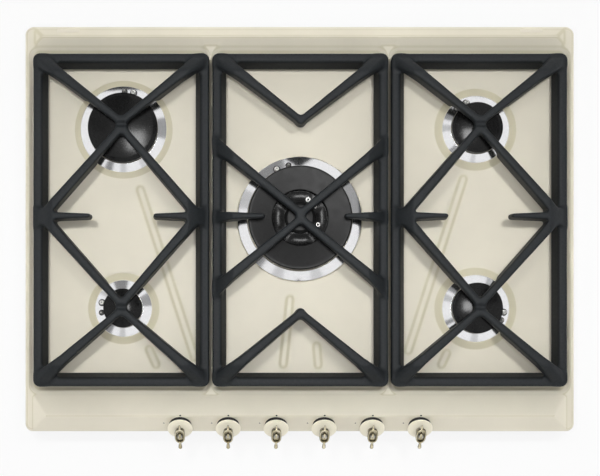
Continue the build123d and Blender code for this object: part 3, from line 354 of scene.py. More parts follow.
def black_enamel(name, gloss, level=0.006, grain=0.02, shine=0.3):
    finish = Finish(name, roughness=gloss, Specular_IOR_Level=shine)
    finish.colour(finish.ramp(finish.noise(0.3, 4), tint((level,) * 3, (level * 1.6,) * 3)))
    finish.rough(finish.noise(0.12, 3), gloss * 0.8, gloss * 1.25)
    finish.bump(finish.noise(0.45, 3), grain, 0.5)


def metal(name, base, rough_low, rough_high, grain=0.4, height=0.02, spread=0.08, stretch=None):
    finish = Finish(name, roughness=rough_high, metallic=1.0)
    value = finish.noise(grain, 4, stretch)
    finish.colour(finish.mottled(value, base, spread))
    finish.rough(finish.noise(grain / 3, 3, stretch), rough_low, rough_high)
    finish.bump(value, height, 0.5)


def galvanised():
    finish = Finish("galvanised", roughness=0.4, metallic=1.0)
    cells = finish.add("TexVoronoi", {"Scale": 0.12 / MM, "Vector": finish.where})
    shade = finish.add("SeparateColor", {"Color": cells.outputs["Color"]})
    finish.colour(finish.ramp(shade.outputs["Red"], tint((0.50, 0.52, 0.53), (0.66, 0.67, 0.68), (0.1, 0.9))))
    finish.rough(shade.outputs["Green"], 0.3, 0.5)
    finish.bump(finish.noise(0.5, 3), 0.02, 0.4)


def aged_brass():
    """Brass with a painted highlight on the faces that look along the knobs' axis and painted shade on its
    sides; darker in its recesses, where the AO node finds them.
    """
    finish = Finish("aged_brass", roughness=0.35, metallic=1.0)
    patina = finish.noise(0.12, 3, rough=0.5)
    # The AO node darkens the recesses.
    worn = finish.add("AmbientOcclusion", {"Distance": 3.0 * MM})
    deep = finish.ramp(worn.outputs["AO"], [(0.5, 0.18), (0.88, 1.0)])
    # Painted highlight and shade: faces that look along the knobs' axis are lit up, the sides are darkened.
    normal = finish.add("NewGeometry").outputs["Normal"]
    outward_way = (0, -sin(radians(45)), cos(radians(45)))
    facing = finish.add("VectorMath", {0: normal, 1: outward_way}, operation="DOT_PRODUCT")
    painted_light = finish.ramp(facing.outputs["Value"], [(0.15, 0.32), (0.55, 0.62), (0.9, 1.0)])
    stops = [(0.3, (0.44, 0.38, 0.24)), (0.5, (0.60, 0.54, 0.37)), (0.65, (0.76, 0.70, 0.54))]
    finish.colour(finish.multiply(finish.ramp(patina, stops), finish.multiply(painted_light, deep)))
    finish.rough(patina, 0.36, 0.18)
    finish.bump(finish.noise(0.6, 2), 0.01, 0.4)


def plain(name, base, roughness, spread=0.1, grain=0.5, height=0.03, **sockets):
    finish = Finish(name, roughness=roughness, **sockets)
    finish.colour(finish.mottled(finish.noise(grain, 3), base, spread))
    finish.rough(finish.noise(grain / 2, 2), roughness * 0.85, min(1.0, roughness * 1.15))
    finish.bump(finish.noise(grain * 2, 3), height, 0.5)


# slope is the colour of the painted shade on the pan's gently sloping faces.
enamel("enamel", (0.770, 0.722, 0.595), slope=(0.84, 0.83, 0.74))
enamel("enamel_trim", (0.800, 0.750, 0.630))
enamel("enamel_knob", (0.920, 0.865, 0.700), 0.02, 0.3)
aged_brass()
plain("seal_rubber", (0.012, 0.012, 0.012), 0.6)
galvanised()
metal("cast_alu", (0.46, 0.46, 0.47), 0.45, 0.62, 0.9, 0.06)
metal("crown_alu", (0.50, 0.50, 0.50), 0.35, 0.5, 0.8, 0.04)
metal("ring_chrome", (0.80, 0.80, 0.81), 0.10, 0.16, 0.3, 0.004, 0.02)
black_enamel("cap_enamel", 0.17, 0.004, 0.008, 0.2)
black_enamel("wok_enamel", 0.28, 0.003, 0.010, 0.10)
black_enamel("bowl_enamel", 0.24, 0.004, 0.01, 0.20)
plain("ceramic", (0.82, 0.81, 0.78), 0.25, 0.04, Coat_Weight=0.5)
metal("sensor_steel", (0.42, 0.41, 0.40), 0.25, 0.4, 0.8)
metal("brass", (0.78, 0.60, 0.28), 0.25, 0.4, 0.6)
metal("zinc_steel", (0.60, 0.61, 0.62), 0.3, 0.45, 0.5)
metal("pipe_alu", (0.72, 0.73, 0.74), 0.28, 0.4, 0.5, stretch=(1, 6, 1))
plain("black_plastic", (0.018, 0.018, 0.019), 0.45)
plain("lead_silicone", (0.55, 0.10, 0.05), 0.5)
cast_iron()
plain("foot_rubber", (0.015, 0.015, 0.016), 0.75)
plain("ink", (0.020, 0.018, 0.015), 0.5)

KEPT_NODES = {  # by finish, the nodes that are shown as they are
    "seal_rubber": ["worktop_seal"],
    "galvanised": ["base_box"],
    "cast_alu": ["burner_cups", "wok_cup", "tap_bodies"],
    "brass": ["injectors", "gas_inlet", *(f"tap_plug_{i}" for i in KNOBS)],
    "zinc_steel": ["gas_rail", "worktop_clamps", "clamp_screws", *(f"tap_spindle_{i}" for i in KNOBS)],
    "pipe_alu": ["burner_pipes"],
    "black_plastic": ["spark_generator", "ignition_switches"],
    "ceramic": ["terminal_block"],
    "lead_silicone": ["leads"],
    "enamel_trim": ["hinge_covers"],
    "foot_rubber": ["grid_feet_left", "grid_feet_centre", "grid_feet_right"],
}
EASED = {
    "hinge_covers": 0.6, "grid_feet_left": 0.6, "grid_feet_centre": 0.6, "grid_feet_right": 0.6,
    "worktop_clamps": 0.3, "clamp_screws": 0.3, "gas_inlet": 0.4, "terminal_block": 0.5, "tap_bodies": 0.5,
    "spark_generator": 1.2, "gas_rail": 0.8,
}


# ---- the pressed pan
def box_apart(x, y, half_x, half_y, r):
    """Distance out of a rounded box about the origin, seen from above."""
    qx, qy = np.abs(x) - half_x + r, np.abs(y) - half_y + r
    return np.hypot(np.maximum(qx, 0), np.maximum(qy, 0)) + np.minimum(np.maximum(qx, qy), 0) - r


def well_level(x, y, low_x, high_x):
    """Height above the well's floor of its leaning wall at each point; below 0 over the floor."""
    front_slope = FRONT_WALL_RUN / (RIDGE_Z - FLOOR_Z)
    rear_slope = REAR_WALL_RUN / (REAR_RIDGE_Z - FLOOR_Z)
    top = RIDGE_Z - FLOOR_Z + 2 * SHEET
    low, high = np.full(x.shape, LEVELS_TRIED[0]), np.full(x.shape, LEVELS_TRIED[1])
    for _ in range(26):
        up = (low + high) / 2
        out = np.minimum(up, WELL_DEPTH) * WELL_SIDE_RUN / WELL_DEPTH
        growth = np.clip((up - WELL_DEPTH) / (top - WELL_DEPTH), 0, 1.5) * WELL_CORNER_GROWTH
        r = WELL_CORNER_R + out + growth
        y0, y1 = WELL_FRONT - up * front_slope, WELL_REAR + up * rear_slope
        half_x = (high_x - low_x) / 2 + out
        apart = box_apart(x - (low_x + high_x) / 2, y - (y0 + y1) / 2, half_x, (y1 - y0) / 2, r)
        low = np.where(apart > 0, up, low)
        high = np.where(apart > 0, high, up)
    return (low + high) / 2


def ridge_level(x, y, line_y, flat, top, inward, out_slope, in_slope, end, end_run, base):
    """Height of a hipped ridge's planes; inward is 1 where the well lies towards +Y."""
    away = (y - line_y) * inward
    outer = top + away * out_slope
    inner = top - (away - flat) * in_slope
    ends = top - (np.abs(x) - end) * (top - base) / end_run
    return smooth_min(smooth_min(outer, inner, 1.6), ends, 1.6)


def well_limits():
    rib, half = RIB_PITCH / 2, RIB_WIDTH / 2 + WELL_SIDE_RUN
    edge = HALF_X - WELL_SIDE_MARGIN - WELL_SIDE_RUN
    return [(-edge, -rib - half), (-rib + half, rib - half), (rib + half, edge)]


def pan_height(x, y, inset):
    """The pan's top face; inset is how far inside the pan's outline the point lies."""
    roll = EDGE_R - np.minimum(inset, EDGE_R)
    rim = RIM_Z - EDGE_R + np.sqrt(np.maximum(EDGE_R**2 - roll**2, 0))
    front = ridge_level(
        x, y, FRONT_RIDGE_Y, FRONT_FLAT, RIDGE_Z, 1, 1.0, (RIDGE_Z - FLOOR_Z) / FRONT_WALL_RUN,
        HALF_X - FRONT_RIDGE_END, RIDGE_END_RUN, RIM_Z - EDGE_R * (1 - sin(radians(45))),
    )
    rear = ridge_level(
        x, y, REAR_RIDGE_Y, REAR_FLAT, REAR_RIDGE_Z, -1, (REAR_RIDGE_Z - RIM_Z) / REAR_LEDGE_RUN,
        (REAR_RIDGE_Z - FLOOR_Z) / REAR_WALL_RUN, HALF_X - REAR_RIDGE_END, RIDGE_END_RUN / 2, RIM_Z,
    )
    front = np.where(inset < EDGE_BREAK, -99.0, front)
    top = smooth_max(smooth_max(rim, front, 0.8), rear, 1.2)
    for low_x, high_x in well_limits():
        wall = well_level(x, y, low_x, high_x) + FLOOR_Z
        top = smooth_min(top, smooth_max(np.full(x.shape, FLOOR_Z), wall, 3.0), 1.6)
    return top + strip_rise(x, y)


def strip_rise(x, y):
    """Height of the pressed strips over the floor."""
    rise = np.zeros(x.shape)
    for name, start, end in STRIPS:
        bx, by = burner(name)
        ax, ay = bx + start[0], by + start[1]
        dx, dy = end[0] - start[0], end[1] - start[1]
        long = hypot(dx, dy)
        along = ((x - ax) * dx + (y - ay) * dy) / long
        along = np.clip(along, STRIP_WIDTH / 2, long - STRIP_WIDTH / 2)
        apart = np.hypot(x - ax - along * dx / long, y - ay - along * dy / long)
        share = np.clip((STRIP_WIDTH / 2 + 0.6 - apart) / STRIP_RUN, 0, 1)
        rise = np.maximum(rise, STRIP_HEIGHT * share**2 * (3 - 2 * share))
    return rise


def spaced(stops):
    """Grid lines through (place, step) stops, each step holding up to the next place."""
    lines = []
    for (a, step), (b, _) in zip(stops, stops[1:]):
        count = max(1, round((b - a) / step))
        lines += [a + (b - a) * i / count for i in range(count)]
    return lines + [stops[-1][0]]


def outline_place(x, y, inset):
    """Maps the inner square grid's corners onto the pan's rounded corners."""
    r = CORNER_R - inset
    cx, cy = HALF_X - CORNER_R, HALF_Y - CORNER_R
    a, b = (abs(x) - cx) / r, (abs(y) - cy) / r
    if a <= 0 or b <= 0:
        return x, y
    return copysign(cx + r * a * sqrt(1 - b * b / 2), x), copysign(cy + r * b * sqrt(1 - a * a / 2), y)


def outward(x, y):
    """Unit direction out of the pan's outline from a point of an inner outline."""
    dx = copysign(max(abs(x) - (HALF_X - CORNER_R), 0), x)
    dy = copysign(max(abs(y) - (HALF_Y - CORNER_R), 0), y)
    long = hypot(dx, dy)
    return dx / long, dy / long


def boss_profile(foot, top):
    """(radius, rise) up a boss's cone, rounded at its foot and its edge."""
    out = []
    for share in (0, 0.05, 0.1, 0.16, 0.3, 0.5, 0.7, 0.84, 0.9, 0.95, 1):
        round_off = 0.14
        if share < round_off:
            rise = share**2 / (2 * round_off * (1 - round_off))
        elif share < 1 - round_off:
            rise = (share - round_off / 2) / (1 - round_off)
        else:
            rise = 1 - (1 - share) ** 2 / (2 * round_off * (1 - round_off))
        out.append((foot - share * (foot - top), (BOSS_Z - FLOOR_Z) * rise))
    return out


def build_pan():
    inner_x, inner_y = HALF_X - EDGE_R, HALF_Y - EDGE_R
    rib = RIB_PITCH / 2
    right = spaced([
        (0, 1.8), (32, 4.8), (rib - 26, 1.6), (rib - 10, 0.9), (rib + 10, 1.6), (rib + 22, 1.9), (224, 4.8),
        (326, 1.4), (inner_x, 1),
    ])
    xs = [-x for x in reversed(right[1:])] + right
    ys = spaced([(-inner_y, 1.1), (-194, 2.4), (80, 4.8), (214, 1.3), (inner_y, 1)])
    bm = bmesh.new()
    places = np.array([[outline_place(x, y, EDGE_R) for x in xs] for y in ys])
    px, py = places[..., 0], places[..., 1]
    inset = np.minimum(HALF_X - np.abs(px), HALF_Y - np.abs(py))
    pz = pan_height(px, py, np.maximum(inset, EDGE_R))
    top = [[bm.verts.new((px[j, i], py[j, i], pz[j, i])) for i in range(len(xs))] for j in range(len(ys))]
    for low, high in zip(top, top[1:]):
        for i in range(len(xs) - 1):
            bm.faces.new((low[i], low[i + 1], high[i + 1], high[i]))
    holes, rise = [], BOSS_Z - FLOOR_Z
    for name in CAPS:
        neck = radius_of(f"cap_{name}") * 0.64 + 0.5
        cone = boss_profile(BOSS_DIAMETERS[name] / 2 + 0.8, RING_DIAMETERS[name] / 2 - 0.6)
        holes.append((*burner(name), 1.0, cone + [(neck, rise)]))
    cone = boss_profile(WOK_RING_D / 2 + 1.2, WOK_RING_D / 2 - 4)
    holes.append((WOK.x, WOK.y, 1.0, cone + [(radius_of("wok_outer_cap") * 0.84 + 0.5, rise)]))
    for joint in frame["joints"]:
        if joint["name"].startswith("tap_"):
            x, y, _ = (v / MM for v in joint["pos_m"])
            holes.append((x, y, FASCIA_SQUEEZE, [(3.8, 0.0), (3.4, 0.0)]))
    for hole in holes:
        open_pan(bm, *hole)
    skirt_pan(bm, [top[0], [row[-1] for row in top], top[-1][::-1], [row[0] for row in top][::-1]])
    for vert in bm.verts:
        vert.co *= MM
    mesh = bpy.data.meshes.new("pan")
    bm.to_mesh(mesh)
    bm.free()
    face_out(mesh)
    piece = from_mesh("pan", mesh, "enamel", "root", sharp=60.0)
    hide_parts("top_pan")


def bridge(bm, low, high):
    """Faces between two closed rows of vertices."""
    for i in range(len(low)):
        bm.faces.new((low[i - 1], low[i], high[i], high[i - 1]))


def open_pan(bm, x, y, squeeze, profile):
    """Cuts a round opening and fills rings of (radius, rise) inward from its edge."""
    reach = profile[0][0] + 0.8

    def radial(vert):
        return hypot(vert.co.x - x, (vert.co.y - y) / squeeze)

    kept = {v for v in bm.verts if v.is_boundary}
    inside = {v for v in bm.verts if abs(v.co.x - x) < reach and radial(v) < reach}
    gone = {f for v in inside for f in v.link_faces}
    bmesh.ops.delete(bm, geom=list(gone), context="FACES")
    rim = {v for v in bm.verts if v.is_boundary} - kept
    loop = [min(rim, key=lambda v: (v.co.x, v.co.y))]
    while True:
        around = [e.other_vert(loop[-1]) for e in loop[-1].link_edges if e.is_boundary]
        ahead = [v for v in around if v not in loop[-2:] and v in rim]
        if not ahead or (len(loop) > 2 and loop[0] in ahead):
            break
        loop.append(ahead[0])
    turns = [atan2((v.co.y - y) / squeeze, v.co.x - x) for v in loop]
    if sum(sin(b - a) for a, b in zip(turns, turns[1:])) < 0:
        loop.reverse()
        turns.reverse()
    for i in range(1, len(turns)):
        while turns[i] < turns[i - 1] - pi:
            turns[i] += tau
        turns[i] = max(turns[i], turns[i - 1] + 0.002)
    last = None
    for r, rise in [(reach, 0.0)] + profile:
        px = np.array([x + r * cos(t) for t in turns])
        py = np.array([y + r * sin(t) * squeeze for t in turns])
        pz = pan_height(px, py, np.full(px.shape, 50.0 if squeeze == 1.0 else 3.9)) + rise
        if last is None:
            for vert, place in zip(loop, zip(px, py, pz)):
                vert.co = place
            last = loop
        else:
            row = [bm.verts.new(p) for p in zip(px, py, pz)]
            bridge(bm, last, row)
            last = row


def skirt_pan(bm, sides):
    """The rolled edge, the hem folded in under it and a thin underside."""
    loop = [v for side in sides for v in side[:-1]]
    outs = [outward(v.co.x, v.co.y) for v in loop]
    levels = [(inset, None) for inset in (3.2, 2.4, 1.7, EDGE_BREAK, 0.75, 0.4, 0.15, 0.0)]
    levels += [
        (0.0, EDGE_Z + HEM_BEND), (HEM_BEND * 0.3, EDGE_Z + HEM_BEND * 0.3), (HEM_BEND, EDGE_Z),
        (HEM_WIDTH, EDGE_Z), (HEM_WIDTH, EDGE_Z + SHEET), (SHEET, EDGE_Z + SHEET), (SHEET, EDGE_Z + 3.0),
    ]
    last = loop
    for inset, z in levels:
        grow = EDGE_R - inset
        px = np.array([v.co.x + o[0] * grow for v, o in zip(loop, outs)])
        py = np.array([v.co.y + o[1] * grow for v, o in zip(loop, outs)])
        pz = pan_height(px, py, np.full(px.shape, inset)) if z is None else np.full(px.shape, z)
        row = [bm.verts.new(p) for p in zip(px, py, pz)]
        bridge(bm, last, row)
        last = row


# ---- burners
CROWN_WALL = 4.0
CROWN_BASE = 2.5
UNDERCUT = 1.2
PORT_DEPTH = 6.0
PORT_WIDTH = 1.7
PORT_FLANK = 0.004
RIM_EASE = 0.4
MIXER_BORE_R = 9.0
PORT_COUNTS = {"rapid": 36, "auxiliary": 20, "semi_rear": 26, "semi_front": 26}
WOK_PORTS, WOK_INNER_PORTS = 52, 16
CAP_BAND = 3.4
CAP_PLUG = 2.5
WOK_CAP_BAND = 31.95
RING_GAP = 1.5
RING_HEIGHT, WOK_RING_HEIGHT = 5.0, 5.6
WEB_COUNT, WEB_WIDTH, HUB_R = 4, 16.0, 23.0
FIXINGS = [  # x, y, radius, hole, height, finish
    (10.8, 24.6, 3.6, 1.3, 4.6, "ceramic"),
    (20.1, 15.6, 2.5, 1.2, 3.2, "sensor_steel"),
    (24.0, -8.0, 3.0, 1.5, 2.6, "sensor_steel"),
]
PLUG_R = 3.2
SENSOR_R = 2.4
PROBE_GAP = 0.5
HOLE_GAP = 1.5
SEAL_PLAY = 0.03
PROBE_ANGLES = {
    "rapid": (74, 88), "auxiliary": (165, 191), "semi_rear": (111, 134), "semi_front": (-8, -25),
    "wok": (115, 102),
}


def crown_radius(name):
    return radius_of("wok_outer_cap" if name == "wok" else f"cap_{name}") - UNDERCUT


def probe_places(name):
    """Where a burner's plug and sensor stand."""
    x, y = burner(name)
    out = crown_radius(name) + UNDERCUT + PLUG_R + PROBE_GAP
    return [(x + out * cos(radians(a)), y + out * sin(radians(a))) for a in PROBE_ANGLES[name]]


def build_cap(name):
    node = f"cap_{name}"
    r, z = radius_of(node), CAP_Z
    inside = r - UNDERCUT - CROWN_WALL - 0.8
    dome, foot = r - CAP_BAND, z + CAP_BAND
    section = [
        (0, z - CAP_PLUG), (inside, z - CAP_PLUG), (inside, z), (r - 0.9, z), (r, z + 0.7), (r, z + 2.3),
        (dome + 0.6, z + 3.0), (dome, foot),
    ]
    rise, steps = CAP_TOP - foot, 14
    for k in range(1, steps + 1):
        share = 1 - k / steps
        section.append((dome * share, foot + rise * (1 - share**2.1)))
    radii, place = (0, 0.5, 0, 0.4, 0.6, 1.0, 0.5, 0, *[0] * steps), at_place(*burner(name))
    piece = turned(node + "_shell", section, radii, "cap_enamel", f"{name}_cap", place, steps=6)
    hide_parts(node)


def ported(outer, inner, low, base, top, count):
    """A cup with radial slots in its outer wall: columns of (radius, z) points round the middle."""
    columns = []
    half = PORT_WIDTH / 2 / outer
    pitch = tau / count
    inside = outer - CROWN_WALL
    for i in range(count):
        middle = i * pitch
        places = [(-half - PORT_FLANK, 1), (-half, 0), (half, 0), (half + PORT_FLANK, 1)]
        rest = max(1, round((pitch - 2 * half) / (tau / SEGMENTS)))
        gap = pitch - 2 * half - 2 * PORT_FLANK
        places += [(half + PORT_FLANK + gap * k / (rest + 1), 1) for k in range(1, rest + 1)]
        for turn, full in places:
            a = middle + turn
            rim = top if full else top - PORT_DEPTH
            eased = rim - RIM_EASE * full
            section = [
                (inner, low), (outer, low), (outer, eased), (outer - RIM_EASE, rim),
                (inside + RIM_EASE, rim), (inside, eased), (inside, base), (inner, base),
            ]
            columns.append([(r * cos(a), r * sin(a), z) for r, z in section])
    return loft(columns, closed=True)


def build_crown(name):
    verts, faces = ported(
        crown_radius(name), MIXER_BORE_R, CROWN_Z, CROWN_Z + CROWN_BASE, CAP_Z, PORT_COUNTS[name]
    )
    piece = make_piece(f"crown_{name}", verts, faces, "crown_alu", "root", place=at_place(*burner(name)))
    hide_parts("burner_crowns")


def carve(piece, cutters):
    """Cuts upright round holes (x, y, radius) in a piece."""
    for x, y, r in cutters:
        verts, faces = lathe([(0, -40), (r, -40), (r, 60), (0, 60)], segments=32)
        mesh = bpy.data.meshes.new("cutter")
        mesh.from_pydata([(at_place(x, y) @ Vector(v)) * MM for v in verts], [], faces)
        face_out(mesh)
        cutter = add_object("cutter", mesh)
        cut = piece.modifiers.new("cut", "BOOLEAN")
        cut.operation, cut.solver, cut.object = "DIFFERENCE", "EXACT", cutter
        bpy.context.view_layer.update()
        done = bpy.data.meshes.new_from_object(piece.evaluated_get(bpy.context.evaluated_depsgraph_get()))
        piece.modifiers.clear()
        piece.data = done
        bpy.data.objects.remove(cutter)
        bpy.data.meshes.remove(mesh)
    piece.data.shade_smooth()
    piece.data.set_sharp_from_angle(angle=radians(35))


def build_ring(name):
    wok = name == "wok"
    outer = (WOK_RING_D if wok else RING_DIAMETERS[name]) / 2
    inner = crown_radius(name) + (UNDERCUT + RING_GAP if wok else RING_GAP)
    height = WOK_RING_HEIGHT if wok else RING_HEIGHT
    cone = [(outer + (inner - outer) * k, BOSS_Z + height * k) for k in (0.05, 0.1, 0.9, 0.95)]
    section = [(inner, BOSS_Z), (outer, BOSS_Z), *cone, (inner, BOSS_Z + height)]
    radii, place = (0, 0.15, 0, 0, 0, 0, 0.1), at_place(*burner(name))
    piece = turned(f"trim_ring_{name}", section, radii, "ring_chrome", "root", place, None, True, 192, 3)
    carve(piece, [(x, y, r + HOLE_GAP) for (x, y), r in zip(probe_places(name), (PLUG_R, SENSOR_R))])
    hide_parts("burner_rings")


def build_probes(name):
    """The ceramic plug with its electrode, the flame sensor in its sleeve, and the seals round both."""
    plug_at, sensor_at = (at_place(*place) for place in probe_places(name))
    top, neck = CAP_Z - 4.0, PLUG_R - 0.5
    low, tip = (corner.z for corner in box_mm("spark_plugs"))
    section = [
        (0, low), (PLUG_R, low), (PLUG_R, top - 6), (neck, top - 5.6), (neck, top), (1.2, top), (0, top),
    ]
    radii = (0, 0.4, 0, 0.2, 0.8, 0, 0)
    body = turned(f"plug_{name}", section, radii, "ceramic", "root", plug_at, segments=40)
    section, radii = [(0, top - 1), (1.0, top - 1), (1.0, tip - 0.6), (0, tip)], (0, 0, 0.5, 0)
    pin = turned(f"electrode_{name}", section, radii, "sensor_steel", "root", plug_at, "ceramic", segments=24)
    low, high = (corner.z for corner in box_mm("thermocouples"))
    section = [
        (0, low), (1.7, low), (1.7, low + 12), (SENSOR_R, low + 12), (SENSOR_R, high - 7), (1.6, high - 6.4),
        (1.6, high - 1), (0, high),
    ]
    radii = (0, 0.3, 0, 0.2, 0.3, 0.3, 1.2, 0)
    sensor = turned(f"sensor_{name}", section, radii, "sensor_steel", "root", sensor_at, segments=32)
    seals = []
    for place, r in ((plug_at, PLUG_R), (sensor_at, SENSOR_R)):
        inside, outside, foot = r + SEAL_PLAY, r + HOLE_GAP - 2 * SEAL_PLAY, BOSS_Z + SEAL_PLAY
        section = [(inside, foot), (outside, foot), (outside, BOSS_Z + 1.0), (inside, BOSS_Z + 0.6)]
        seals.append((*lathe(section, closed=True, segments=32), place))
    make_piece(f"probe_seals_{name}", *joined(seals), "seal_rubber", "root")
    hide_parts("spark_plugs")
    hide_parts("spark_plugs")
    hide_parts("thermocouples")


def build_wok():
    here = at_place(WOK.x, WOK.y)
    low, high = box_mm("wok_outer_cap")
    r_out, z, top = radius_of("wok_outer_cap"), low.z, high.z
    r_in = r_out - WOK_CAP_BAND
    section = [
        (r_in, z), (r_out, z), (r_out, top), (r_out - 4, top - 0.3), (r_in + 3, top - 2.6), (r_in, top - 2.8),
    ]
    radii = (0.8, 0.5, 1.4, 6.0, 4.0, 1.0)
    name, body = "wok_ring_cap_shell", "wok_ring_cap"
    cap = turned(name, section, radii, "wok_enamel", body, here, "cap_enamel", True, 160, 5)
    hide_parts("wok_outer_cap")

    low, high = box_mm("wok_inner_cap")
    r, z = radius_of("wok_inner_cap"), low.z + CAP_PLUG
    plug = r - UNDERCUT - CROWN_WALL - 0.8
    section = [
        (0, low.z), (plug, low.z), (plug, z), (r - 0.8, z), (r, z + 0.5), (r, z + 2.6),
        (r - 3.5, high.z - 0.4), (0, high.z),
    ]
    radii = (0, 0.4, 0, 0.3, 0.4, 1.6, 5.0, 0)
    name, body = "wok_middle_cap_shell", "wok_middle_cap"
    cap = turned(name, section, radii, "wok_enamel", body, here, "cap_enamel", False, 96, 5)
    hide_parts("wok_inner_cap")

    crown_r, hole_r = r_out - UNDERCUT, r_in + UNDERCUT
    shell = ported(crown_r, hole_r + 2, CROWN_Z, CROWN_Z + CROWN_BASE, CAP_Z, WOK_PORTS)
    outer = make_piece("wok_crown_outer", *shell, "crown_alu", "root", place=here)
    wide = hole_r + CROWN_WALL
    section = [(hole_r, CROWN_Z), (wide, CROWN_Z), (wide, CAP_Z), (hole_r, CAP_Z)]
    wall = turned("wok_crown_wall", section, (0.5,) * 4, "bowl_enamel", "root", here, "crown_alu", True)
    for piece in (outer, wall, *build_bowl(hole_r + 1, here)):
        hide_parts("wok_outer_crown")

    low, high = box_mm("wok_inner_crown")
    shell = ported(r - UNDERCUT, MIXER_BORE_R, low.z, low.z + CROWN_BASE, high.z, WOK_INNER_PORTS)
    inner = make_piece("wok_crown_inner", *shell, "crown_alu", "root", place=here)
    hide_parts("wok_inner_crown")


def build_bowl(reach, here):
    """The floor inside the wok crown: a dished plate with raised webs round its hub, and its fixings."""
    columns, pitch = [], tau / WEB_COUNT
    for i in range(WEB_COUNT):
        middle = (i + 0.5) * pitch
        columns += [(middle, 2 * k / 8 - 1, True) for k in range(9)]
        columns += [(middle + pitch / 2, 2 * k / 14 - 1, False) for k in range(1, 14)]
    radii = [MIXER_BORE_R, 14.0, 18.0, 20.5, 22.0, HUB_R, 24.2, 26.0, 28.5, 31.0, 33.5, 35.5, reach]
    rings = []
    for r in radii:
        edge = asin(WEB_WIDTH / 2 / max(r, HUB_R))
        rest = pitch / 2 - edge
        out = min(1.0, max(0.0, (r - 21) / (reach - 21)))
        rings.append([])
        for middle, share, is_web in columns:
            a = middle + share * (edge if is_web else rest)
            deep = 0.0 if is_web else 1.4 * (1 - abs(share) ** 4) * sin(pi * out ** 0.8)
            rings[-1].append((r * cos(a), r * sin(a), CROWN_Z + CROWN_BASE - 0.6 * sin(pi * out) - deep))
    bowl = make_piece("wok_bowl", *loft(rings), "bowl_enamel", "root", "crown_alu", place=here)
    thick = bowl.modifiers.new("thick", "SOLIDIFY")
    thick.thickness, thick.offset = 1.2 * MM, -1
    parts, z = [bowl], CROWN_Z + 1.0
    for number, (x, y, r, hole, top, finish) in enumerate(FIXINGS):
        section = [(hole, z + 1), (hole, z), (r, z), (r, z + top), (hole, z + top)]
        name, radii, place = f"wok_fixing_{number + 1}", (0, 0, 0.2, 0.7, 0.3), here @ at_place(x, y)
        parts.append(turned(name, section, radii, finish, "root", place, None, True, 40))
    return parts


# ---- knobs
HANDLE_W, HANDLE_L = 13.4, 25.0
HANDLE_BACK, HANDLE_FRONT = 18.0, 22.4
HANDLE_UP = 0.8
BALL_R, BALL_TIP = 2.45, 12.0
BOSS_STRETCH = 2.1
DOT_AT, TRIANGLE_AT = (0.4, 17.4), (-21.4, 3.0)


def knob_place(i):
    """From a knob's own axes, x across, y up the slope, z outward, to the part's."""
    joint = next(j for j in frame["joints"] if j["name"] == f"tap_{i}_turn")
    out = Vector(joint["axis"])
    turn = Matrix(((1, 0, 0), (0, out.z, -out.y), out)).transposed()
    return Matrix.Translation(Vector(joint["pos_m"]) / MM) @ turn.to_4x4()


def oval_shell(levels, segments=72):
    """A closed oval body from (inset, z) levels."""
    rings = [[(0, 0, levels[0][1])]]
    for inset, z in levels:
        ring = []
        for k in range(segments):
            cx, cy = (copysign(abs(v) ** 0.74, v) for v in (cos(tau * k / segments), sin(tau * k / segments)))
            ring.append(((HANDLE_W / 2 - inset) * cx, (HANDLE_L / 2 - inset) * cy, z))
        rings.append(ring)
    return loft([*rings, [(0, 0, levels[-1][1])]])


def handle_parts():
    """The bar handle's shells: oval body with its boss, stem, spike at the rear end and ball at the front."""
    body = [
        (4.5, 18.0), (1.3, 18.0), (0.5, 18.2), (0.1, 18.7), (0, 19.4), (0, 20.9), (0.15, 21.5), (0.55, 22.1),
        (1.1, 22.4), (1.6, 22.35), (1.95, 21.9), (2.1, 21.3), (2.3, 19.6), (4.6, 19.4),
    ]
    stem = [
        (3.1, 10.5), (5.8, 10.5), (5.9, 11.3), (4.8, 12.2), (4.2, 14.5), (4.4, 16.5), (4.9, 18.4),
        (3.1, 18.4),
    ]
    stem = soften(stem, (0, 0.3, 0.5, 0.9, 3.0, 2.0, 0.3, 0), closed=True)
    boss = soften([(0, 19.2), (2.1, 19.2), (2.1, 21.6), (1.4, 22.3), (0, 22.4)], (0, 0, 0.4, 0.4, 0))
    spike = [
        (0, -2), (2.0, -2), (2.0, 0.5), (1.3, 1.1), (1.2, 1.8), (1.7, 2.6), (1.2, 4.4), (0.6, 7.0), (0, 7.2),
    ]
    spike = soften(spike, (0, 0, 0.5, 0.4, 0.4, 0.4, 1.5, 0.4, 0))
    ball = [(0, -2), (2.3, -2), (2.3, 0.8), (1.6, 1.8), (1.5, 4.0), (2.1, 5.4)]
    ball = soften(ball, (0, 0, 0.5, 0.5, 0.6, 0))
    for a in range(70, 180, 12):
        ball.append((BALL_R * sin(radians(a)), BALL_TIP - BALL_R - BALL_R * cos(radians(a))))
    ball.append((0, BALL_TIP))
    raised = at_place(0, HANDLE_UP)
    parts = [
        (*oval_shell(body), raised),
        (*lathe(stem, closed=True, segments=56), Matrix.Identity(4)),
        (*lathe(boss, segments=32), raised @ Matrix.Diagonal((1, BOSS_STRETCH, 1, 1))),
    ]
    middle = (HANDLE_BACK + HANDLE_FRONT) / 2
    for shape, turn in ((spike, -90), (ball, 90)):
        side = Matrix.Translation((0, HANDLE_UP + HANDLE_L / 2 * (1 if turn < 0 else -1), middle))
        parts.append((*lathe(shape, segments=36), side @ Matrix.Rotation(radians(turn), 4, "X")))
    return parts


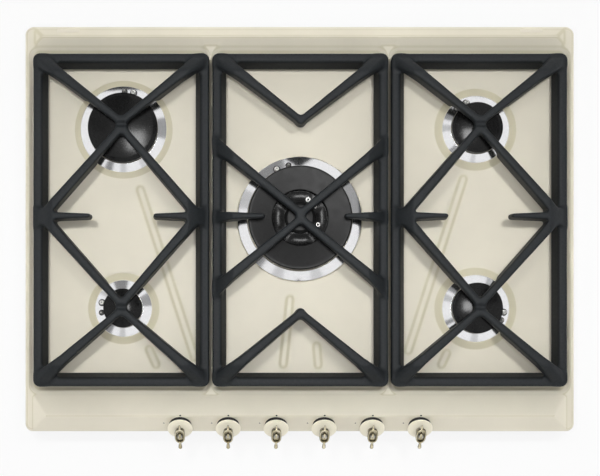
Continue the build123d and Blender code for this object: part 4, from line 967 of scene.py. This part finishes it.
def build_knob(i):
    place = knob_place(i)
    section = [(3.9, 0), (14.6, 0), (14.6, 2.0), (3.9, 2.0)]
    radii = (0.3, 0.3, 0.8, 0.3)
    seal = turned(f"knob_seal_{i}", section, radii, "seal_rubber", "root", place, closed=True, segments=72)
    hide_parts("knob_seals")

    section = [
        (3.1, 5.5), (15.6, 5.5), (16.3, 6.4), (16.3, 8.0), (14.6, 8.9), (11.0, 10.0), (7.6, 10.5),
        (3.1, 10.5),
    ]
    radii = (0, 0.4, 0.5, 0.9, 3.0, 4.0, 0.6, 0)
    skirt = turned(f"knob_skirt_{i}_shell", section, radii, "enamel_knob", f"knob_{i}", place, None, True, 96)
    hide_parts(f"knob_skirt_{i}")

    shell = joined(handle_parts())
    handle = make_piece(f"knob_handle_{i}_shell", *shell, "aged_brass", f"knob_{i}", sharp=50.0, place=place)
    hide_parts(f"knob_handle_{i}")


def build_marks():
    """The printed index dots and small triangles on the fascia."""
    parts = []
    for i in KNOBS:
        place = knob_place(i)
        dot = [(0, 0), (1.25, 0), (1.25, 0.04), (0, 0.04)]
        parts.append((*lathe(dot, segments=24), place @ at_place(*DOT_AT)))
        flame = [(0, 0), (1.3, 0), (1.3, 0.03), (0, 0.03)]
        turn = Matrix.Rotation(pi / 2, 4, "Z")
        parts.append((*lathe(flame, segments=3), place @ at_place(*TRIANGLE_AT) @ turn))
    make_piece("index_marks", *joined(parts), "ink", "root", "enamel")


# ---- cast grids and the nodes kept as they are
GRID_CORNER_R = 8.5
FRAME_TOP = 29.0
FRAME_FLAT = 11.0
FRAME_SLOPE = 7.5
ARM_BOTTOM = 26.0
ARM_DRAFT = 1.5
ARCH_CLEAR = 13.0
ARCH_BOTTOM = 36.5
END_SLOPE_RUN = 24.0
END_SLOPE_DROP = 21.5
KEEN_MERGE = 2.8
SOFT_MERGE = 5.0
HUB_APART = 3.6  # the two pairs of arms meet this far either side of a burner's middle
HUB_SUNK = 3.2
FINGER_R = 4.1


def arm_apart(x, y, arms):
    """Distance from tapered arms, each a line of (x, y, half width) points, merged softly."""
    merged = None
    for points in arms:
        least = np.inf
        for (ax, ay, wide), (bx, by, slim) in zip(points, points[1:]):
            dx, dy = bx - ax, by - ay
            share = np.clip(((x - ax) * dx + (y - ay) * dy) / (dx * dx + dy * dy), 0, 1)
            apart = np.hypot(x - ax - share * dx, y - ay - share * dy) - (wide + (slim - wide) * share)
            least = np.minimum(least, apart)
        merged = least if merged is None else smooth_min(merged, least, SOFT_MERGE)
    return merged


def surface_net(field, low, step):
    """A closed quad mesh where the field on a grid of points falls below 0."""
    cells = tuple(n - 1 for n in field.shape)
    total, count, crossings = np.zeros((*cells, 3)), np.zeros(cells), []
    for axis in range(3):
        one, two = [k for k in range(3) if k != axis]
        order = (axis, one, two)
        values, sums, counts = field.transpose(order), total.transpose(*order, 3), count.transpose(order)
        near, far = values[:-1], values[1:]
        crossed = (near < 0) != (far < 0)
        share = np.where(crossed, near / np.where(crossed, near - far, 1), 0)
        crossings.append(crossed.transpose(np.argsort(order)))
        for u in (0, 1):
            for v in (0, 1):
                part = (slice(None), slice(u, cells[one] + u), slice(v, cells[two] + v))
                for along, more in ((axis, share[part]), (one, u * crossed[part]), (two, v * crossed[part])):
                    sums[..., along] += more
                counts += crossed[part]
    used = count > 0
    index = np.full(cells, -1)
    index[used] = np.arange(used.sum())
    at = np.argwhere(used) + total[used] / count[used][:, None]
    quads = []
    for axis in range(3):
        one, two = (axis + 1) % 3, (axis + 2) % 3
        inner = [slice(None)] * 3
        inner[one] = inner[two] = slice(1, -1)
        edges = np.argwhere(crossings[axis][tuple(inner)])
        edges[:, [one, two]] += 1
        corners = []
        for u, v in ((1, 1), (0, 1), (0, 0), (1, 0)):
            cell = edges.copy()
            cell[:, one] -= u
            cell[:, two] -= v
            corners.append(index[tuple(cell.T)])
        quads.append(np.stack(corners, 1))
    return at * step + np.array(low), np.concatenate(quads)


def grid_arms(side, middle_x, half_x, half_y, middle_y):
    """The arms seen from above, and the caps (x, y, radius) that they arch over."""
    corner_x, corner_y = half_x - FRAME_FLAT / 2, half_y - FRAME_FLAT / 2
    arms, caps, row = [], [], burner("wok")[1]

    def flared(x0, y0, x1, y1):
        """An arm from a frame corner: wide at the corner, then tapering to its tip."""
        near = [(x0 + (x1 - x0) * k, y0 + (y1 - y0) * k) for k in (0.14, 0.30)]
        return [(x0, y0, 10.5), (*near[0], 9.6), (*near[1], 7.6), (x1, y1, 5.6)]

    if side:
        for name in {-1: ("rapid", "auxiliary"), 1: ("semi_rear", "semi_front")}[side]:
            x, y = burner(name)
            caps.append((x, y, radius_of(f"cap_{name}")))
            way = 1 if y > row else -1
            arms.append([(x, y - 4.0, 6.6), (x, y + 4.0, 6.6)])
            for turn in (-1, 1):
                corner = (middle_x + turn * corner_x, middle_y + way * corner_y)
                arms.append(flared(*corner, x, y + way * HUB_APART))
                hub = (middle_x + turn * (half_x - 17.0), row + way * 3.5)
                arms.append([(*hub, 7.6), (x, y - way * HUB_APART, 5.9)])
        for turn in (-1, 1):
            gap = 36.5 if turn == side else 41.5
            hub = middle_x + turn * (half_x - 4.0)
            arms.append([(hub, row, 13.0), (middle_x + turn * (half_x - 18.0), row, 9.0)])
            arms.append([(hub, row, 7.0), (middle_x + turn * (gap + FINGER_R), row, FINGER_R)])
    else:
        caps.append((WOK.x, row, radius_of("wok_outer_cap")))
        for turn in (-1, 1):
            for way, tip in ((1, 126.0), (-1, 121.0)):
                arms.append(flared(turn * corner_x, middle_y + way * corner_y, 0.0, middle_y + way * tip))
                root = (turn * (half_x - 3.0), row + way * 94.0, 9.6)
                throat = (turn * (half_x - 24.0), row + way * 77.0, 7.6)
                arms.append([root, throat, (0.0, row + way * 3.4, 5.8)])
            tip = 45.0 if turn < 0 else 55.0
            arms.append([(turn * (half_x - 6.0), row, 7.2), (turn * (tip + FINGER_R), row, FINGER_R)])
    return arms, caps


def build_grid(name, side):
    low, high = box_mm(f"grid_{name}")
    step = 1.4
    start = [low[k] - 2.5 * step for k in range(3)]
    counts = [int((high[k] - low[k]) / step) + 7 for k in range(3)]
    lines = (start[k] + step * np.arange(counts[k]) for k in range(3))
    x, y, z = np.meshgrid(*lines, indexing="ij", sparse=True)
    middle_x, middle_y = (low.x + high.x) / 2, (low.y + high.y) / 2
    half_x, half_y = (high.x - low.x) / 2, (high.y - low.y) / 2
    outline = box_apart(x - middle_x, y - middle_y, half_x, half_y, GRID_CORNER_R)
    slope = FRAME_SLOPE / (FRAME_TOP - low.z)
    inner = (-outline - FRAME_FLAT - (FRAME_TOP - z) * slope) * cos(atan2(slope, 1))
    rim = smooth_max(smooth_max(z - FRAME_TOP, outline, 2.4), inner, 2.8)
    rim = smooth_max(rim, low.z - z, 1.6)
    arms_seen, caps = grid_arms(side, middle_x, half_x, half_y, middle_y)
    plan = arm_apart(x, y, arms_seen)
    below = np.full(plan.shape, ARM_BOTTOM)
    for cx, cy, r in caps:
        over = np.clip((r + ARCH_CLEAR - np.hypot(x - cx, y - cy)) / (ARCH_BOTTOM - ARM_BOTTOM) * 2, 0, 1)
        below = np.maximum(below, ARM_BOTTOM + (ARCH_BOTTOM - ARM_BOTTOM) * over)
    fall = np.clip(1 + (outline + 3.0) / END_SLOPE_RUN, 0, 1)
    above = high.z - END_SLOPE_DROP * fall**1.3
    for cx, cy, _ in caps if side else ():
        above = above - HUB_SUNK * np.clip(1.6 - np.hypot((x - cx) / 6.5, (y - cy) / 2.8), 0, 1)
    arms = smooth_max(plan + (z - ARM_BOTTOM) / (high.z - ARM_BOTTOM) * ARM_DRAFT, z - above, KEEN_MERGE)
    arms = smooth_max(smooth_max(arms, below - z, KEEN_MERGE), outline + 1.5, KEEN_MERGE)
    points, quads = surface_net(smooth_min(rim, arms, SOFT_MERGE), start, step)
    mesh = bpy.data.meshes.new(f"cast_{name}")
    mesh.from_pydata(points * MM, [], quads)
    face_out(mesh)
    piece = from_mesh(f"cast_{name}", mesh, "cast_iron", f"{name}_support", sharp=0)
    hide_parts(f"grid_{name}")
    worn = piece.modifiers.new("worn", "SMOOTH")
    worn.factor, worn.iterations = 0.5, 5


def dress_nodes():
    """Finishes and eased edges of the nodes that are shown as they are."""
    for finish, nodes in KEPT_NODES.items():
        for node in nodes:
            thing = frame["nodes"][node]
            thing.data.materials.clear()
            thing.data.materials.append(FINISH[finish])
            if node in EASED:
                edge = thing.modifiers.new("edge", "BEVEL")
                edge.width, edge.segments, edge.angle_limit = EASED[node] * MM, 2, radians(35)
                edge.use_clamp_overlap = True


# ---- lights, floor and camera
FLOOR_HALF = 6000.0
FLOOR_GLOW = 0.86
AMBIENT_LOW, AMBIENT_HIGH = 1.52, 0.385
CARD_AWAY = 900.0
CARD_ELEVATIONS = (28, 66)
CARDS = [  # azimuth, spread, shade
    (25, 38, 0.38), (116, 30, 0.28), (152, 18, 0.6), (-138, 12, 0.26), (-68, 12, 0.7), (-112, 12, 0.66),
]


def aim(obj, at):
    obj.rotation_mode = "QUATERNION"
    obj.rotation_quaternion = (Vector(at) - obj.location).to_track_quat("-Z", "Y")


def add_lamp(name, at, size, power, glossy, look=(0, 0, 0)):
    data = bpy.data.lights.new(name, "AREA")
    data.shape = "RECTANGLE"
    data.size, data.size_y = size
    data.energy = power
    lamp = add_object(name, data)
    lamp.location = at
    aim(lamp, look)
    lamp.visible_glossy = glossy
    lamp.visible_camera = False
    return lamp


def glowing(name, shade):
    """A material that only glows, with its node tree and its glow."""
    material = bpy.data.materials.new(name)
    material.use_nodes = True
    tree = material.node_tree
    glow = add_node(tree, "Emission", {"Color": (shade, shade, shade, 1)}).outputs[0]
    tree.links.new(glow, tree.nodes["Material Output"].inputs["Surface"])
    return material, tree, glow


def add_sheet(name, verts, faces, material):
    mesh = bpy.data.meshes.new(name)
    mesh.from_pydata([Vector(v) * MM for v in verts], [], faces)
    mesh.materials.append(material)
    return add_object(name, mesh)


def build_floor():
    """A white floor whose glow evens out what the camera sees of it."""
    z = box_mm("base_box")[0].z
    corners = [(x * FLOOR_HALF, y * FLOOR_HALF, z) for x, y in ((-1, -1), (1, -1), (1, 1), (-1, 1))]
    material, tree, glow = glowing("floor", 1.0)
    shader = tree.nodes["Principled BSDF"]
    shader.inputs["Base Color"].default_value = (0.92, 0.92, 0.92, 1)
    shader.inputs["Roughness"].default_value = 0.9
    seen = add_node(tree, "LightPath").outputs["Is Camera Ray"]
    share = add_node(tree, "Math", {0: seen, 1: FLOOR_GLOW}, operation="MULTIPLY").outputs[0]
    mix = add_node(tree, "MixShader", {0: share, 1: shader.outputs[0], 2: glow})
    tree.links.new(mix.outputs[0], tree.nodes["Material Output"].inputs["Surface"])
    floor = add_sheet("floor", corners, [(0, 1, 2, 3)], material)


def add_card(name, azimuth, spread, shade):
    """A grey reflector that only polished metal shows, standing round the part between two elevations."""
    verts, count = [], 12
    for k in range(count + 1):
        a = radians(azimuth - spread / 2 + spread * k / count)
        x, y = CARD_AWAY * cos(a), CARD_AWAY * sin(a)
        verts += [(x, y, CARD_AWAY * tan(radians(up))) for up in CARD_ELEVATIONS]
    faces = [(2 * k, 2 * k + 2, 2 * k + 3, 2 * k + 1) for k in range(count)]
    card = add_sheet(name, verts, faces, glowing(name, shade)[0])
    for ray in ("camera", "diffuse", "shadow", "transmission", "volume_scatter"):
        setattr(card, "visible_" + ray, False)


def build_world():
    """Light from all round, strongest from low down; the camera and reflections see plain white."""
    world = bpy.data.worlds.new("studio")
    bpy.context.scene.world = world
    world.use_nodes = True
    tree = world.node_tree
    back = tree.nodes["Background"]
    back.inputs["Color"].default_value = (1, 1, 1, 1)
    way = add_node(tree, "SeparateXYZ", {0: add_node(tree, "TexCoord").outputs["Generated"]})
    inputs = {"From Max": 0.75, "To Min": AMBIENT_LOW, "To Max": AMBIENT_HIGH, "Value": way.outputs["Z"]}
    band = add_node(tree, "MapRange", inputs, interpolation_type="SMOOTHSTEP")
    path = add_node(tree, "LightPath").outputs
    shown = path["Is Camera Ray"]
    for ray in ("Is Glossy Ray", "Is Transmission Ray"):
        shown = add_node(tree, "Math", {0: shown, 1: path[ray]}, operation="MAXIMUM").outputs[0]
    level = add_node(tree, "MapRange", {"To Min": band.outputs["Result"], "To Max": 1.0, "Value": shown})
    tree.links.new(level.outputs["Result"], back.inputs["Strength"])


# The camera looks down on the hob from over its front left part, as the photograph's did.
CAMERA_AT = (-81.0, -192.0)
CAMERA_UP = 1900.0
VIEW_WIDTH = 786.5
VIEW_MIDDLE = (0.4, -11.7)
SENSOR = 36.0
MOST_SHIFT = 0.25


def build_camera():
    scene = bpy.context.scene
    scene.view_settings.view_transform = "Standard"
    data = bpy.data.cameras.new("camera")
    camera = scene.camera = add_object("camera", data)
    data.sensor_width = SENSOR
    data.lens = SENSOR * CAMERA_UP / VIEW_WIDTH
    off_x, off_y = ((VIEW_MIDDLE[k] - CAMERA_AT[k]) / VIEW_WIDTH for k in (0, 1))
    data.shift_x = off_x
    data.shift_y = min(off_y, MOST_SHIFT)
    lean = atan2((off_y - data.shift_y) * VIEW_WIDTH, CAMERA_UP)
    camera.location = Vector((*CAMERA_AT, CAMERA_UP + RIM_Z)) * MM
    camera.rotation_euler = (lean, 0, 0)
    data.clip_start, data.clip_end = 0.05, 30.0


build_camera()
build_world()
build_floor()
for way in (-1, 1):
    at, look = (0.55 * way, 0.40, 2.2), (0.28 * way, -0.03, 0)
    key = add_lamp(f"key_{way + 2}", at, (0.20, 0.20), 0.97, False, look)
    key.data.spread = radians(40)
soft = add_lamp("soft", (0.0, 0.10, 2.3), (0.55, 0.55), 21.0, True)
soft.visible_diffuse = False
for number, card in enumerate(CARDS):
    add_card(f"card_{number + 1}", *card)
build_pan()
for burner_name in CAPS:
    build_cap(burner_name)
    build_crown(burner_name)
for burner_name in (*CAPS, "wok"):
    build_ring(burner_name)
    build_probes(burner_name)
build_wok()
for number in KNOBS:
    build_knob(number)
build_marks()
for grid_name, grid_side in (("left", -1), ("centre", 0), ("right", 1)):
    build_grid(grid_name, grid_side)
dress_nodes()
